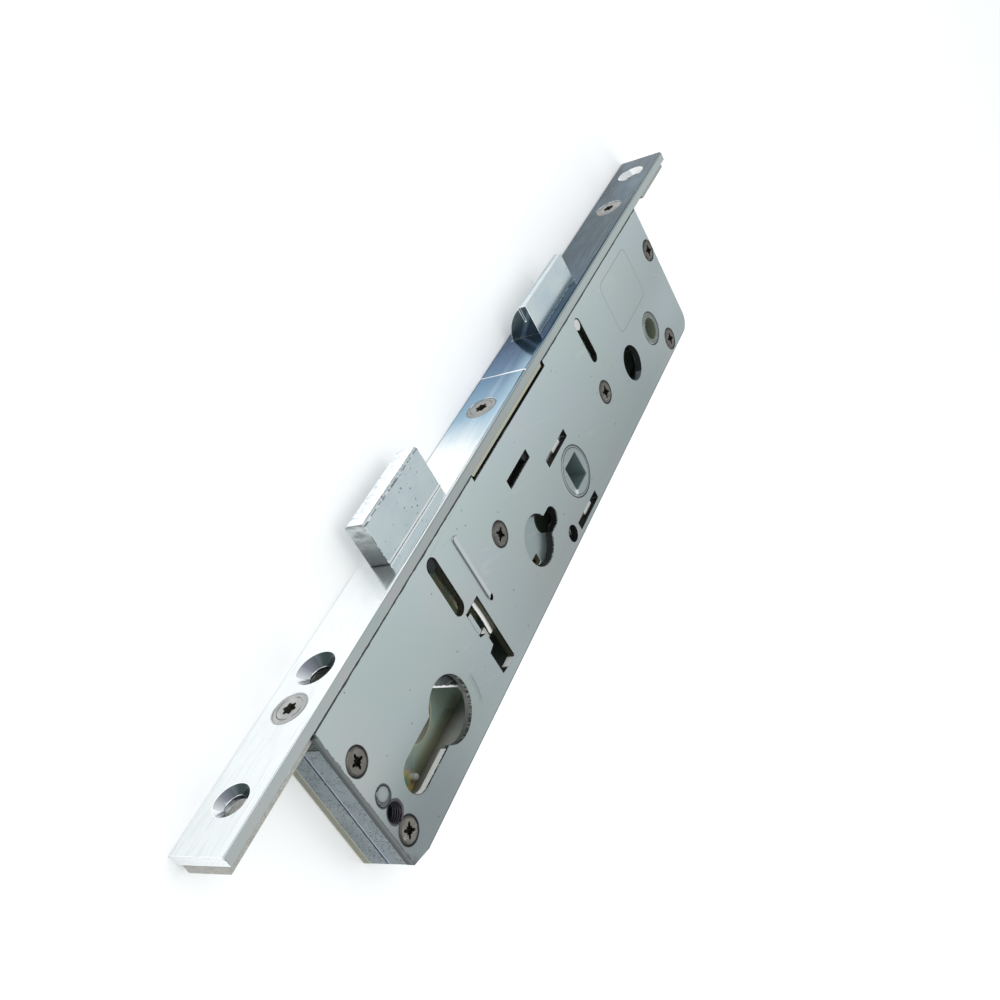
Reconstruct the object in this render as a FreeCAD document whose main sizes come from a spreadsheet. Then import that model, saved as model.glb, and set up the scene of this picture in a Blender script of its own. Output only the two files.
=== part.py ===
import FreeCAD, Part
import math
import os
import Sketcher
from FreeCAD import Placement, Rotation, Vector

# Lock case with a latch and a deadbolt on its faceplate, lying on its far side.
# X runs into the door, Y along the lock towards the latch, Z from the far plate to the near one.
# The origin is the cylinder's axis, halfway through the case. All sizes are in millimetres.

doc = FreeCAD.newDocument("deadbolt_lock")
sheet = doc.addObject("Spreadsheet::Sheet", "Sizes")
sizes_made = []
parts_made = []


# A number that remembers its formula, so one line gives both the binding and the value.
class Size:
    def __init__(self, text, value):
        self.text = text
        self.value = value

    def __add__(self, other):
        other = as_size(other)
        return Size("(%s + %s)" % (self.text, other.text), self.value + other.value)

    def __sub__(self, other):
        other = as_size(other)
        return Size("(%s - %s)" % (self.text, other.text), self.value - other.value)

    def __mul__(self, other):
        other = as_size(other)
        return Size("(%s * %s)" % (self.text, other.text), self.value * other.value)

    def __truediv__(self, other):
        other = as_size(other)
        return Size("(%s / %s)" % (self.text, other.text), self.value / other.value)

    def __neg__(self):
        return Size("(0 - %s)" % self.text, -self.value)


def as_size(number):
    if isinstance(number, Size):
        return number
    return Size("(%.6f)" % number, float(number))


def size(name, number):
    """Put one driving size in the sheet."""
    cell = "A%d" % (len(sizes_made) + 1)
    sheet.set(cell, str(number))
    sheet.setAlias(cell, name)
    sizes_made.append(name)
    return Size("Sizes.%s" % name, float(number))


def sine(degrees):
    return Size("sin(%s * 1 deg)" % degrees.text, math.sin(math.radians(degrees.value)))


def cosine(degrees):
    return Size("cos(%s * 1 deg)" % degrees.text, math.cos(math.radians(degrees.value)))


# Faceplate
backset = size("backset", 35.0)
face_width = size("face_width", 16.0)
face_thick = size("face_thick", 3.0)
face_over = size("face_over", 34.3)
face_under = size("face_under", 34.1)
face_round = size("face_round", 0.8)
face_fit = size("face_fit", 0.15)
mark_place = size("mark_place", 94.1)
mark_width = size("mark_width", 0.4)
mark_depth = size("mark_depth", 0.15)
door_hole = size("door_hole", 2.75)
door_sink = size("door_sink", 4.5)
door_inset_low = size("door_inset_low", 13.9)
door_inset_high = size("door_inset_high", 11.6)
key_screw_hole = size("key_screw_hole", 2.75)
key_screw_sink = size("key_screw_sink", 5.15)
key_screw_place = size("key_screw_place", -19.3)

# Case plates
case_thick = size("case_thick", 15.2)
plate_thick = size("plate_thick", 2.2)
plate_gap = size("plate_gap", 0.25)
rear_margin = size("rear_margin", 14.3)
top_margin = size("top_margin", 24.6)
case_below = size("case_below", 35.9)
front_round = size("front_round", 2.0)
case_round = size("case_round", 5.0)
toe_deep = size("toe_deep", 1.8)
toe_tall = size("toe_tall", 6.0)
wall_thick = size("wall_thick", 1.2)
notch_low = size("notch_low", 51.0)
notch_high = size("notch_high", 103.5)
notch_deep = size("notch_deep", 2.4)
keeper_thick = size("keeper_thick", 1.7)
keeper_drop = size("keeper_drop", 0.4)
keeper_gap = size("keeper_gap", 0.4)

# Openings for the cylinder, the spindles and the handle's screws
spindle_place = size("spindle_place", 92.0)
cylinder_round = size("cylinder_round", 8.5)
cylinder_slot = size("cylinder_slot", 5.0)
cylinder_drop = size("cylinder_drop", 24.5)
lower_spindle_place = size("lower_spindle_place", 61.8)
lower_spindle_round = size("lower_spindle_round", 7.35)
lobe_round = size("lobe_round", 3.0)
lobe_rise = size("lobe_rise", 9.8)
handle_rise = size("handle_rise", 55.2)
handle_round = size("handle_round", 5.75)
bush_rise = size("bush_rise", 19.9)
bush_round = size("bush_round", 5.25)
bush_bore = size("bush_bore", 3.6)
spy_x = size("spy_x", 10.4)
spy_y = size("spy_y", 76.4)
spy_round = size("spy_round", 2.5)

# Screws, posts and blocks
case_shank = size("case_shank", 1.95)
case_head = size("case_head", 3.5)
case_head_deep = size("case_head_deep", 1.5)
head_rim = size("head_rim", 0.35)
head_proud = size("head_proud", 0.15)
tip_proud = size("tip_proud", 0.4)
face_shank = size("face_shank", 1.9)
face_head = size("face_head", 4.5)
face_head_deep = size("face_head_deep", 2.3)
face_screw_long = size("face_screw_long", 14.0)
cross_long = size("cross_long", 1.9)
cross_wide = size("cross_wide", 0.7)
cross_deep = size("cross_deep", 1.3)
screw_fit = size("screw_fit", 0.05)
post_round = size("post_round", 3.0)
bottom_row_rise = size("bottom_row_rise", 4.6)
front_screw_x = size("front_screw_x", -17.5)
rear_screw_x = size("rear_screw_x", 5.9)
middle_screw_x = size("middle_screw_x", -13.5)
middle_screw_y = size("middle_screw_y", 48.9)
latch_screw_x = size("latch_screw_x", -4.4)
latch_screw_y = size("latch_screw_y", 125.2)
top_screw_drop = size("top_screw_drop", 3.6)
post_wall_gap = size("post_wall_gap", 0.2)
bush_screw_rise = size("bush_screw_rise", 8.6)
stud_head_x = size("stud_head_x", -5.9)
stud_head_round = size("stud_head_round", 2.45)
tapped_x = size("tapped_x", -0.5)
tapped_round = size("tapped_round", 2.65)
face_screw_middle = size("face_screw_middle", 78.3)
face_screw_drop = size("face_screw_drop", 1.7)
block_front = size("block_front", 3.0)
block_tall = size("block_tall", 10.9)
block_back_gap = size("block_back_gap", 0.6)
block_round = size("block_round", 2.5)
block_seam = size("block_seam", 0.05)
top_block_tall = size("top_block_tall", 8.0)
lug_deep = size("lug_deep", 9.8)
lug_tall = size("lug_tall", 13.0)

# Follower
hub_round = size("hub_round", 7.45)
hub_fit = size("hub_fit", 0.08)
hub_square = size("hub_square", 8.1)
disc_round = size("disc_round", 10.8)
disc_thick = size("disc_thick", 3.0)
lever_reach = size("lever_reach", 17.0)
lever_lean = size("lever_lean", 7.0)
lever_root = size("lever_root", 2.4)
lever_tip = size("lever_tip", 2.2)
lever_thick = size("lever_thick", 2.8)
tooth_reach = size("tooth_reach", 10.2)
tooth_half = size("tooth_half", 1.2)
tooth_thick = size("tooth_thick", 2.0)

# Latch
latch_low = size("latch_low", 113.0)
latch_tall = size("latch_tall", 29.7)
latch_thick = size("latch_thick", 9.7)
latch_out = size("latch_out", 9.6)
latch_tip_flat = size("latch_tip_flat", 2.1)
latch_bulge = size("latch_bulge", 14.0)
latch_nose_start = size("latch_nose_start", 0.3)
latch_in = size("latch_in", 8.0)
latch_travel = size("latch_travel", 9.5)
cheek_groove = size("cheek_groove", 0.5)
pad_low = size("pad_low", 124.8)
pad_tall = size("pad_tall", 6.2)
pad_round = size("pad_round", 1.1)
pad_out = size("pad_out", 4.8)
pad_z = size("pad_z", -1.9)
latch_pin_x = size("latch_pin_x", -26.9)
latch_pin_y = size("latch_pin_y", 128.8)
latch_pin_round = size("latch_pin_round", 1.7)
latch_slot_left = size("latch_slot_left", -29.0)
latch_slot_right = size("latch_slot_right", -13.5)
latch_slot_half = size("latch_slot_half", 1.95)
latch_tail_low = size("latch_tail_low", 118.0)
latch_tail_high = size("latch_tail_high", 133.8)
latch_tail_thick = size("latch_tail_thick", 4.0)
window_half = size("window_half", 4.0)
window_gap = size("window_gap", 0.5)
hook_gap = size("hook_gap", 0.95)
hook_thick = size("hook_thick", 2.0)
hook_low = size("hook_low", 104.2)
latch_spring_round = size("latch_spring_round", 2.6)
latch_spring_y = size("latch_spring_y", 137.4)
latch_spring_z = size("latch_spring_z", 0.4)
latch_spring_turns = size("latch_spring_turns", 7)
latch_stop_x = size("latch_stop_x", 0.0)
latch_stop_thick = size("latch_stop_thick", 3.0)
latch_stop_half = size("latch_stop_half", 3.2)

# Deadbolt
bolt_low = size("bolt_low", 14.3)
bolt_tall = size("bolt_tall", 29.8)
bolt_thick = size("bolt_thick", 6.0)
bolt_out = size("bolt_out", 12.6)
bolt_in = size("bolt_in", 8.0)
bolt_bevel = size("bolt_bevel", 0.5)
bolt_tail_thick = size("bolt_tail_thick", 2.6)
bolt_tail_low = size("bolt_tail_low", 27.0)
bolt_tail_high = size("bolt_tail_high", 42.0)
bolt_tail_end = size("bolt_tail_end", -1.0)
tail_seat = size("tail_seat", 5.0)
guide_pin_x = size("guide_pin_x", -27.4)
guide_pin_y = size("guide_pin_y", 21.3)
guide_pin_round = size("guide_pin_round", 1.6)
guide_slot_left = size("guide_slot_left", -29.5)
guide_slot_right = size("guide_slot_right", -11.3)
guide_slot_half = size("guide_slot_half", 2.35)
pin_below_face = size("pin_below_face", 0.3)
cam_pin_x = size("cam_pin_x", -17.0)
cam_pin_y = size("cam_pin_y", 36.0)
cam_pin_round = size("cam_pin_round", 2.0)
cam_pin_head = size("cam_pin_head", 0.6)
cam_fit = size("cam_fit", 0.35)

# Drive slide and drive bars
drive_travel = size("drive_travel", 11.0)
drive_thick = size("drive_thick", 1.8)
layer_gap = size("layer_gap", 0.2)
strip_left = size("strip_left", -14.0)
strip_right = size("strip_right", -10.0)
strip_low = size("strip_low", -10.0)
strip_drop = size("strip_drop", 25.7)
arm_tall = size("arm_tall", 8.0)
cam_plate_left = size("cam_plate_left", -21.2)
cam_plate_right = size("cam_plate_right", 0.0)
cam_plate_low = size("cam_plate_low", 28.0)
cam_plate_high = size("cam_plate_high", 66.0)
ear_right = size("ear_right", -16.9)
ear_high = size("ear_high", 78.0)
post_gap = size("post_gap", 0.4)
bar_gap = size("bar_gap", 0.1)
bar_thick = size("bar_thick", 2.3)
bar_half = size("bar_half", 5.0)
bar_wide_half = size("bar_wide_half", 6.2)
bar_case_gap = size("bar_case_gap", 0.5)
lower_bar_top = size("lower_bar_top", 12.0)
bar_lap = size("bar_lap", 11.0)
bar_slot_half = size("bar_slot_half", 2.9)
drive_stud_x = size("drive_stud_x", -19.1)
drive_stud_y = size("drive_stud_y", 75.0)
drive_stud_round = size("drive_stud_round", 1.2)
drive_stud_top = size("drive_stud_top", 6.9)
stud_slot_half = size("stud_slot_half", 1.45)
stud_slot_low = size("stud_slot_low", 62.3)
stud_slot_high = size("stud_slot_high", 76.4)

# Return slide and its springs
slide_thick = size("slide_thick", 2.0)
return_travel = size("return_travel", 5.8)
slide_wall_gap = size("slide_wall_gap", 0.4)
slide_inner = size("slide_inner", 8.0)
slide_drop = size("slide_drop", 13.5)
slide_bridge = size("slide_bridge", 4.8)
slide_rise = size("slide_rise", 5.5)
tooth_room_half = size("tooth_room_half", 2.2)
tooth_room_gap = size("tooth_room_gap", 0.4)
tab_front_inset = size("tab_front_inset", 1.9)
tab_rear_inset = size("tab_rear_inset", 1.2)
tab_half = size("tab_half", 0.8)
tab_tall = size("tab_tall", 5.4)
tab_rise_front = size("tab_rise_front", 1.3)
tab_rise_rear = size("tab_rise_rear", 0.3)
tab_top_z = size("tab_top_z", 6.6)
tab_slot_half = size("tab_slot_half", 1.3)
tab_slot_over = size("tab_slot_over", 3.3)
tab_slot_under = size("tab_slot_under", 0.3)
foot_thick = size("foot_thick", 1.4)
foot_bottom = size("foot_bottom", -0.9)
spring_wall_gap = size("spring_wall_gap", 0.5)
spring_z = size("spring_z", 2.0)
spring_round = size("spring_round", 2.2)
spring_wire = size("spring_wire", 0.7)
spring_turns = size("spring_turns", 8)
spring_end_gap = size("spring_end_gap", 0.5)
seat_drop = size("seat_drop", 10.5)
seat_tall = size("seat_tall", 2.2)
seat_wall_gap = size("seat_wall_gap", 0.3)
seat_bottom = size("seat_bottom", -3.0)

# Blank plate behind the lower spindle opening
blank_left = size("blank_left", -7.3)
blank_x = size("blank_x", 1.4)
blank_y = size("blank_y", 62.8)
blank_round = size("blank_round", 6.3)
blank_thick = size("blank_thick", 1.8)
blank_gap = size("blank_gap", 0.3)
bite_left = size("bite_left", 2.0)
bite_rise = size("bite_rise", 7.4)
bite_round = size("bite_round", 3.8)
notch_start = size("notch_start", 2.1)
notch_wide = size("notch_wide", 2.9)
notch_drop = size("notch_drop", 2.1)
leg_right = size("leg_right", 2.2)
leg_rise = size("leg_rise", 1.4)
leg_round = size("leg_round", 1.6)

# Locking lever above the cylinder
pivot_x = size("pivot_x", -7.0)
pivot_y = size("pivot_y", 14.2)
pivot_round = size("pivot_round", 2.0)
pivot_fit = size("pivot_fit", 0.06)
lock_thick = size("lock_thick", 1.8)
lock_boss = size("lock_boss", 3.6)
lock_low = size("lock_low", 10.6)
lock_high = size("lock_high", 16.0)
lock_nose_gap = size("lock_nose_gap", 1.6)
lock_nose_drop = size("lock_nose_drop", 2.0)
lock_tab_left = size("lock_tab_left", -0.8)
lock_tab_right = size("lock_tab_right", 2.4)
lock_tab_top = size("lock_tab_top", 27.6)
lock_spring_round = size("lock_spring_round", 2.95)
lock_spring_wire = size("lock_spring_wire", 0.5)
lock_spring_turns = size("lock_spring_turns", 3)
lock_spring_long = size("lock_spring_long", 2.6)
view_left = size("view_left", -10.3)
view_right = size("view_right", 11.0)
view_low = size("view_low", 21.9)
view_high = size("view_high", 29.0)
view_lean = size("view_lean", 0.6)
bump_left = size("bump_left", -2.4)
bump_right = size("bump_right", 3.1)
bump_tall = size("bump_tall", 2.5)
bump_lean = size("bump_lean", 1.0)
lance_left = size("lance_left", -9.1)
lance_right = size("lance_right", -2.9)
lance_slit = size("lance_slit", 0.3)
lance_tall = size("lance_tall", 1.6)
lance_sunk = size("lance_sunk", 0.25)
web_right = size("web_right", -4.2)
web_tall = size("web_tall", 1.4)
web_thick = size("web_thick", 0.7)
rib_left = size("rib_left", -26.4)
rib_right = size("rib_right", -5.7)
rib_y = size("rib_y", 33.3)
rib_half = size("rib_half", 1.25)
rib_proud = size("rib_proud", 0.35)
rib_hole_round = size("rib_hole_round", 0.9)

# Places that follow from the sizes
case_front = face_thick - backset
face_front = -backset
case_rear = rear_margin
wall_front = case_rear - wall_thick
case_low = -case_below
handle_place = spindle_place + handle_rise
bush_place = handle_place + bush_rise
case_above = bush_place + top_margin
face_above = case_above + face_over
face_below = case_below + face_under
door_hole_low = door_inset_low - face_below
door_hole_high = face_above - door_inset_high
bottom_row = case_low + bottom_row_rise
top_screw_y = case_above - top_screw_drop
bush_screw_x = wall_front - post_round - post_wall_gap
bush_screw_y = bush_place + bush_screw_rise
face_screw_top = case_above - face_screw_drop
strip_high = case_above - strip_drop
out_z = case_thick / 2
in_z = out_z - plate_thick
latch_high = latch_low + latch_tall
latch_half = latch_thick / 2
latch_front = face_front - latch_out
latch_back = case_front + latch_in
bolt_high = bolt_low + bolt_tall
bolt_half = bolt_thick / 2
bolt_front = face_front - bolt_out
bolt_back = case_front + bolt_in
drive_low_z = layer_gap - in_z
drive_high_z = drive_low_z + drive_thick
slide_low_z = disc_thick + layer_gap
slide_high_z = slide_low_z + slide_thick
slide_outer = wall_front - slide_wall_gap
slide_low = spindle_place - slide_drop
slide_high = spindle_place + slide_rise
tab_top_front = spindle_place + tab_rise_front
tab_top_rear = spindle_place + tab_rise_rear
tab_front_x = tab_front_inset - slide_outer
tab_rear_x = slide_outer - tab_rear_inset
spring_x = wall_front - spring_wall_gap - spring_round
seat_outer = wall_front - seat_wall_gap
seat_low = blank_y - seat_drop
lock_nose = wall_front - lock_nose_gap
bar_front = case_front + bar_gap
bar_back = bar_front + bar_thick
block_left = case_front + block_front
block_right = wall_front - block_back_gap
block_top = case_low + block_tall
lock_high_z = in_z - layer_gap
lock_low_z = lock_high_z - lock_thick
face_half = face_width / 2

CASE_SCREWS = [
    (front_screw_x, bottom_row),
    (rear_screw_x, bottom_row),
    (middle_screw_x, middle_screw_y),
    (latch_screw_x, latch_screw_y),
    (front_screw_x, top_screw_y),
    (bush_screw_x, bush_screw_y),
]
FACE_SCREWS = [bottom_row, face_screw_middle, face_screw_top]

# How far cutters run past the faces that they open, and how near an edge lies to its place
OVER = 1.0
NEAR = 0.01


def bind(feature, **paths):
    """Bind properties of a feature, each named with two underscores for a dot."""
    for path, number in paths.items():
        feature.setExpression(path.replace("__", "."), as_size(number).text)
    return feature


def place(feature, x, y, z):
    return bind(feature, Placement__Base__x=x, Placement__Base__y=y, Placement__Base__z=z)


def box(x0, x1, y0, y1, z0, z1):
    feature = doc.addObject("Part::Box", "Block")
    bind(feature, Length=as_size(x1) - x0, Width=as_size(y1) - y0, Height=as_size(z1) - z0)
    return place(feature, x0, y0, z0)


def disc(x, y, z0, z1, radius):
    feature = doc.addObject("Part::Cylinder", "Round")
    bind(feature, Radius=radius, Height=as_size(z1) - z0)
    return place(feature, x, y, z0)


def rod(x0, x1, y, z, radius):
    """A cylinder along X."""
    feature = doc.addObject("Part::Cylinder", "Rod")
    feature.Placement = Placement(Vector(0, 0, 0), Rotation(Vector(0, 1, 0), 90))
    bind(feature, Radius=radius, Height=as_size(x1) - x0)
    return place(feature, x0, y, z)


def cone_in(x, y, z):
    """A countersink for the faceplate along X, placed by its wide end."""
    feature = doc.addObject("Part::Cone", "Sink")
    feature.Placement = Placement(Vector(0, 0, 0), Rotation(Vector(0, 1, 0), 90))
    return place(feature, x, y, z)


def slot_x(x0, x1, y, half, z0, z1):
    """A slot along X with round ends; x0 and x1 are its outermost points."""
    middle = box(x0 + half, x1 - half, y - half, y + half, z0, z1)
    return fuse("", [middle, disc(x0 + half, y, z0, z1, half), disc(x1 - half, y, z0, z1, half)])


def slot_y(x, y0, y1, half, z0, z1):
    """A slot along Y with round ends; y0 and y1 are its outermost points."""
    middle = box(x - half, x + half, y0 + half, y1 - half, z0, z1)
    return fuse("", [middle, disc(x, y0 + half, z0, z1, half), disc(x, y1 - half, z0, z1, half)])


def bar_slot(x0, x1, y0, y1, half):
    """A slot along Y that is cut along X, with round ends centred on y0 and y1."""
    middle = box(x0, x1, y0, y1, -half, half)
    return fuse("", [middle, rod(x0, x1, y0, 0, half), rod(x0, x1, y1, 0, half)])


def part(label, feature):
    """Give a finished sub-part its name."""
    feature.Label = label
    parts_made.append(feature)
    return feature


def fuse(label, features):
    feature = doc.addObject("Part::MultiFuse", "Fuse")
    feature.Shapes = features
    if label:
        part(label, feature)
    return feature


def cut(label, base, tools):
    feature = doc.addObject("Part::Cut", "Cut")
    feature.Base = base
    feature.Tool = tools[0] if len(tools) == 1 else fuse("", tools)
    if label:
        part(label, feature)
    return feature


def group(label, features):
    """Like pieces that share one node, as separate solids."""
    feature = doc.addObject("Part::Compound", "Group")
    feature.Links = features
    return part(label, feature)


def new_sketch(body, role, offset):
    """A sketch on one of the body's own planes, moved along that plane's normal."""
    sketch = body.newObject("Sketcher::SketchObject", "Sketch")
    plane = [item for item in body.Origin.OriginFeatures if item.Role == role][0]
    sketch.AttachmentSupport = [(plane, "")]
    sketch.MapMode = "FlatFace"
    bind(sketch, AttachmentOffset__Base__z=offset)
    return sketch


def fix_point(sketch, geometry, position, x, y):
    for kind, number in (("DistanceX", as_size(x)), ("DistanceY", as_size(y))):
        rule = Sketcher.Constraint(kind, -1, 1, geometry, position, number.value)
        sketch.setExpression("Constraints[%d]" % sketch.addConstraint(rule), number.text)


def fix_radius(sketch, geometry, radius):
    rule = Sketcher.Constraint("Radius", geometry, radius.value)
    sketch.setExpression("Constraints[%d]" % sketch.addConstraint(rule), radius.text)


def arc_between(start, end, radius):
    """The short arc from start to end; a negative radius bulges to the left of the way."""
    chord = end - start
    middle = (start + end) * 0.5
    side = Vector(-chord.y, chord.x, 0).normalize()
    drop = math.sqrt(max(radius ** 2 - (chord.Length / 2) ** 2, 0))
    turn = 1 if radius > 0 else -1
    centre = middle + side * (turn * drop)
    top = centre - side * (turn * abs(radius))
    return Part.Arc(start, top, end)


def outline(sketch, corners):
    """A closed outline. A corner is x, y and, where an arc starts there, its radius."""
    ends = []
    count = len(corners)
    for index, corner in enumerate(corners):
        after = corners[(index + 1) % count]
        start = Vector(as_size(corner[0]).value, as_size(corner[1]).value, 0)
        end = Vector(as_size(after[0]).value, as_size(after[1]).value, 0)
        if len(corner) == 2:
            number = sketch.addGeometry(Part.LineSegment(start, end), False)
            ends.append((number, 1, 2))
        elif corner[2].value > 0:
            number = sketch.addGeometry(arc_between(start, end, corner[2].value), False)
            ends.append((number, 1, 2))
        else:
            number = sketch.addGeometry(arc_between(end, start, -corner[2].value), False)
            ends.append((number, 2, 1))
    for index, (number, first, last) in enumerate(ends):
        before = ends[index - 1]
        sketch.addConstraint(Sketcher.Constraint("Coincident", before[0], before[2], number, first))
        fix_point(sketch, number, first, corners[index][0], corners[index][1])
        if len(corners[index]) == 3:
            radius = corners[index][2]
            fix_radius(sketch, number, radius if radius.value > 0 else -radius)


def pad(body, sketch, length):
    feature = body.newObject("PartDesign::Pad", "Pad")
    feature.Profile = sketch
    bind(feature, Length=length)
    body.Tip = feature
    return feature


def flat_body(corners, z0, z1):
    """A body with one flat outline, from z0 up to z1."""
    body = doc.addObject("PartDesign::Body", "Body")
    sketch = new_sketch(body, "XY_Plane", as_size(z0))
    outline(sketch, corners)
    pad(body, sketch, as_size(z1) - z0)
    return body


def long_body(corners, y0, y1):
    """A body whose section, drawn in X and Z, runs from y0 to y1."""
    body = doc.addObject("PartDesign::Body", "Body")
    sketch = new_sketch(body, "XZ_Plane", -as_size(y1))
    outline(sketch, corners)
    pad(body, sketch, as_size(y1) - y0)
    return body


def arc_piece(start, direction, end):
    """The arc that leaves start in a direction and reaches end."""
    chord = end - start
    side = chord - direction * chord.dot(direction)
    side.normalize()
    radius = chord.Length ** 2 / (2 * chord.dot(side))
    centre = start + side * radius
    middle = (start + end) * 0.5 - centre
    middle.normalize()
    return Part.Arc(start, centre + middle * radius, end).toShape()


def coil(label, radius, wire, turns, length):
    """A round-wire spring along Z that starts at the origin, as quarter-turn pairs of arcs."""
    mean = radius.value - wire.value / 2
    pitch = length.value / turns.value
    edges = []
    steps = int(round(4 * turns.value))
    spots = []
    for step in range(steps + 1):
        angle = step * math.pi / 2
        spot = Vector(mean * math.cos(angle), mean * math.sin(angle), pitch * step / 4)
        way = Vector(-mean * math.sin(angle), mean * math.cos(angle), pitch / (2 * math.pi))
        spots.append((spot, way.normalize()))
    for (spot, way), (next_spot, next_way) in zip(spots, spots[1:]):
        gap = next_spot - spot
        both = way + next_way
        bend = 2 * (1 - way.dot(next_way))
        reach = (math.sqrt(gap.dot(both) ** 2 + bend * gap.dot(gap)) - gap.dot(both)) / bend
        middle = (spot + next_spot + (way - next_way) * reach) * 0.5
        edges.append(arc_piece(spot, way, middle))
        edges.append(arc_piece(next_spot, next_way * -1, middle))
    path = Part.Wire(edges)
    section = Part.Wire([Part.Circle(spots[0][0], spots[0][1], wire.value / 2).toShape()])
    shell = Part.BRepOffsetAPI.MakePipeShell(path)
    shell.add(section)
    shell.build()
    shell.makeSolid()
    feature = doc.addObject("Part::Feature", "Coil")
    feature.Shape = shell.shape()
    expected = math.pi * (wire.value / 2) ** 2 * path.Length
    print("%s: least gap between turns %.2f, volume %.4f of the wire's" % (
        label, pitch - wire.value, feature.Shape.Volume / expected))
    return part(label, feature)


def turned(feature, axis, angle):
    feature.Placement = Placement(Vector(0, 0, 0), Rotation(axis, angle))
    return feature


def countersunk_screw(shank, head, head_deep, rim, length):
    """A screw that hangs down from its head's top, which is at the origin."""
    rim_disc = disc(0, 0, -rim, 0, head)
    sink = doc.addObject("Part::Cone", "Head")
    bind(sink, Radius1=shank, Radius2=head, Height=head_deep - rim)
    place(sink, 0, 0, -head_deep)
    body = fuse("", [rim_disc, sink, disc(0, 0, -length, -head_deep / 2, shank)])
    bars = [
        box(-cross_long, cross_long, -cross_wide / 2, cross_wide / 2, -cross_deep, OVER),
        box(-cross_wide / 2, cross_wide / 2, -cross_long, cross_long, -cross_deep, OVER),
    ]
    return cut("", body, bars)


def case_outline(front):
    """The plates' outline, with the round top corner and the slanted bottom one at the rear."""
    return [
        (front + front_round, case_low),
        (case_rear - toe_deep, case_low),
        (case_rear, case_low + toe_tall),
        (case_rear, case_above - case_round, case_round),
        (case_rear - case_round, case_above),
        (front, case_above),
        (front, case_low + front_round, front_round),
    ]


def cylinder_opening(z0, z1):
    """The cylinder's profile: a round part above a narrower slot."""
    drop = cylinder_slot - cylinder_drop
    return [
        disc(0, 0, z0, z1, cylinder_round),
        box(-cylinder_slot, cylinder_slot, drop, 0, z0, z1),
        disc(0, drop, z0, z1, cylinder_slot),
    ]


def common_openings(z0, z1):
    """Openings that go through both plates."""
    return cylinder_opening(z0, z1) + [
        disc(0, spindle_place, z0, z1, hub_round + hub_fit),
        disc(0, handle_place, z0, z1, handle_round),
        disc(0, bush_place, z0, z1, bush_round),
    ]


def faceplate():
    blank = long_body([
        (face_front, face_half - face_round, -face_round),
        (face_front + face_round, face_half),
        (case_front, face_half),
        (case_front, -face_half),
        (face_front + face_round, -face_half, -face_round),
        (face_front, face_round - face_half),
    ], -face_below, face_above)
    latch_room = latch_half + face_fit
    bolt_room = bolt_half + face_fit
    cutters = [
        box(face_front - OVER, case_front + OVER, latch_low - face_fit, latch_high + face_fit,
            -latch_room, latch_room),
        box(face_front - OVER, case_front + OVER, bolt_low - face_fit, bolt_high + face_fit,
            -bolt_room, bolt_room),
        box(face_front - OVER, face_front + mark_depth, mark_place, mark_place + mark_width,
            -face_width, face_width),
    ]
    holes = [
        (door_hole_low, door_hole, door_sink),
        (door_hole_high, door_hole, door_sink),
        (key_screw_place, key_screw_hole, key_screw_sink),
    ]
    for y, small, large in holes:
        sink = cone_in(face_front, y, 0)
        cutters.append(bind(sink, Radius1=large, Radius2=small, Height=large - small))
        cutters.append(rod(face_front - OVER, case_front + OVER, y, 0, small))
    for y in FACE_SCREWS:
        sink = cone_in(face_front + head_rim, y, 0)
        bind(sink, Radius1=face_head + screw_fit, Radius2=face_shank + screw_fit,
             Height=face_head_deep - head_rim)
        cutters.append(sink)
        cutters.append(rod(face_front - OVER, face_front + head_rim, y, 0, face_head + screw_fit))
        cutters.append(rod(face_front - OVER, case_front + OVER, y, 0, face_shank + screw_fit))
    return cut("faceplate", blank, cutters)


def near_case():
    plate = flat_body(case_outline(case_front + plate_gap), in_z, out_z)
    wall = box(wall_front, case_rear, case_low + toe_tall, case_above - case_round, -in_z, in_z)
    rib = slot_x(rib_left, rib_right, rib_y, rib_half, out_z, out_z + rib_proud)
    shell = fuse("", [plate, wall, rib])
    below = in_z - layer_gap
    above = out_z + OVER
    cutters = common_openings(below, above) + [
        disc(0, lower_spindle_place, below, above, lower_spindle_round),
        slot_y(as_size(0), lower_spindle_place, lower_spindle_place + lobe_rise + lobe_round,
               lobe_round, below, above),
        disc(spy_x, spy_y, below, above, spy_round),
        slot_x(latch_slot_left, latch_slot_right, latch_pin_y, latch_slot_half, below, above),
        slot_x(guide_slot_left, guide_slot_right, guide_pin_y, guide_slot_half, below, above),
        box(drive_stud_x - stud_slot_half, drive_stud_x + stud_slot_half, stud_slot_low,
            stud_slot_high, below, above),
        view_opening(below, above),
        slot_x(rib_left, rib_right, rib_y, rib_half, below, in_z + rib_proud),
        disc(rib_right, rib_y, below, above, rib_hole_round),
        box(case_front - OVER, case_front + notch_deep, notch_low, notch_high, below, above),
        disc(tapped_x, bottom_row, below, above, tapped_round),
        disc(stud_head_x, bottom_row, below, above, stud_head_round),
    ]
    for x, top in ((tab_front_x, tab_top_front), (tab_rear_x, tab_top_rear)):
        low = top - tab_tall - return_travel - tab_slot_under
        cutters.append(box(x - tab_slot_half, x + tab_slot_half, low, top + tab_slot_over,
                           below, above))
    for x, y in CASE_SCREWS:
        cutters.append(disc(x, y, below, above, case_shank + screw_fit))
        sink = doc.addObject("Part::Cone", "Sink")
        bind(sink, Radius1=case_shank + screw_fit, Radius2=case_head + screw_fit,
             Height=case_head_deep - head_rim)
        cutters.append(place(sink, x, y, out_z + head_proud - case_head_deep))
        cutters.append(disc(x, y, out_z + head_proud - head_rim, above, case_head + screw_fit))
    lance_low = view_low + lance_slit
    lance = box(lance_left, lance_right, lance_low, lance_low + lance_tall,
                in_z - web_thick, out_z - lance_sunk)
    web = box(lance_left, web_right, view_low - web_tall, lance_low + lance_tall,
              in_z - web_thick, in_z)
    return fuse("near_case", [cut("", shell, cutters), lance, web])


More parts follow.
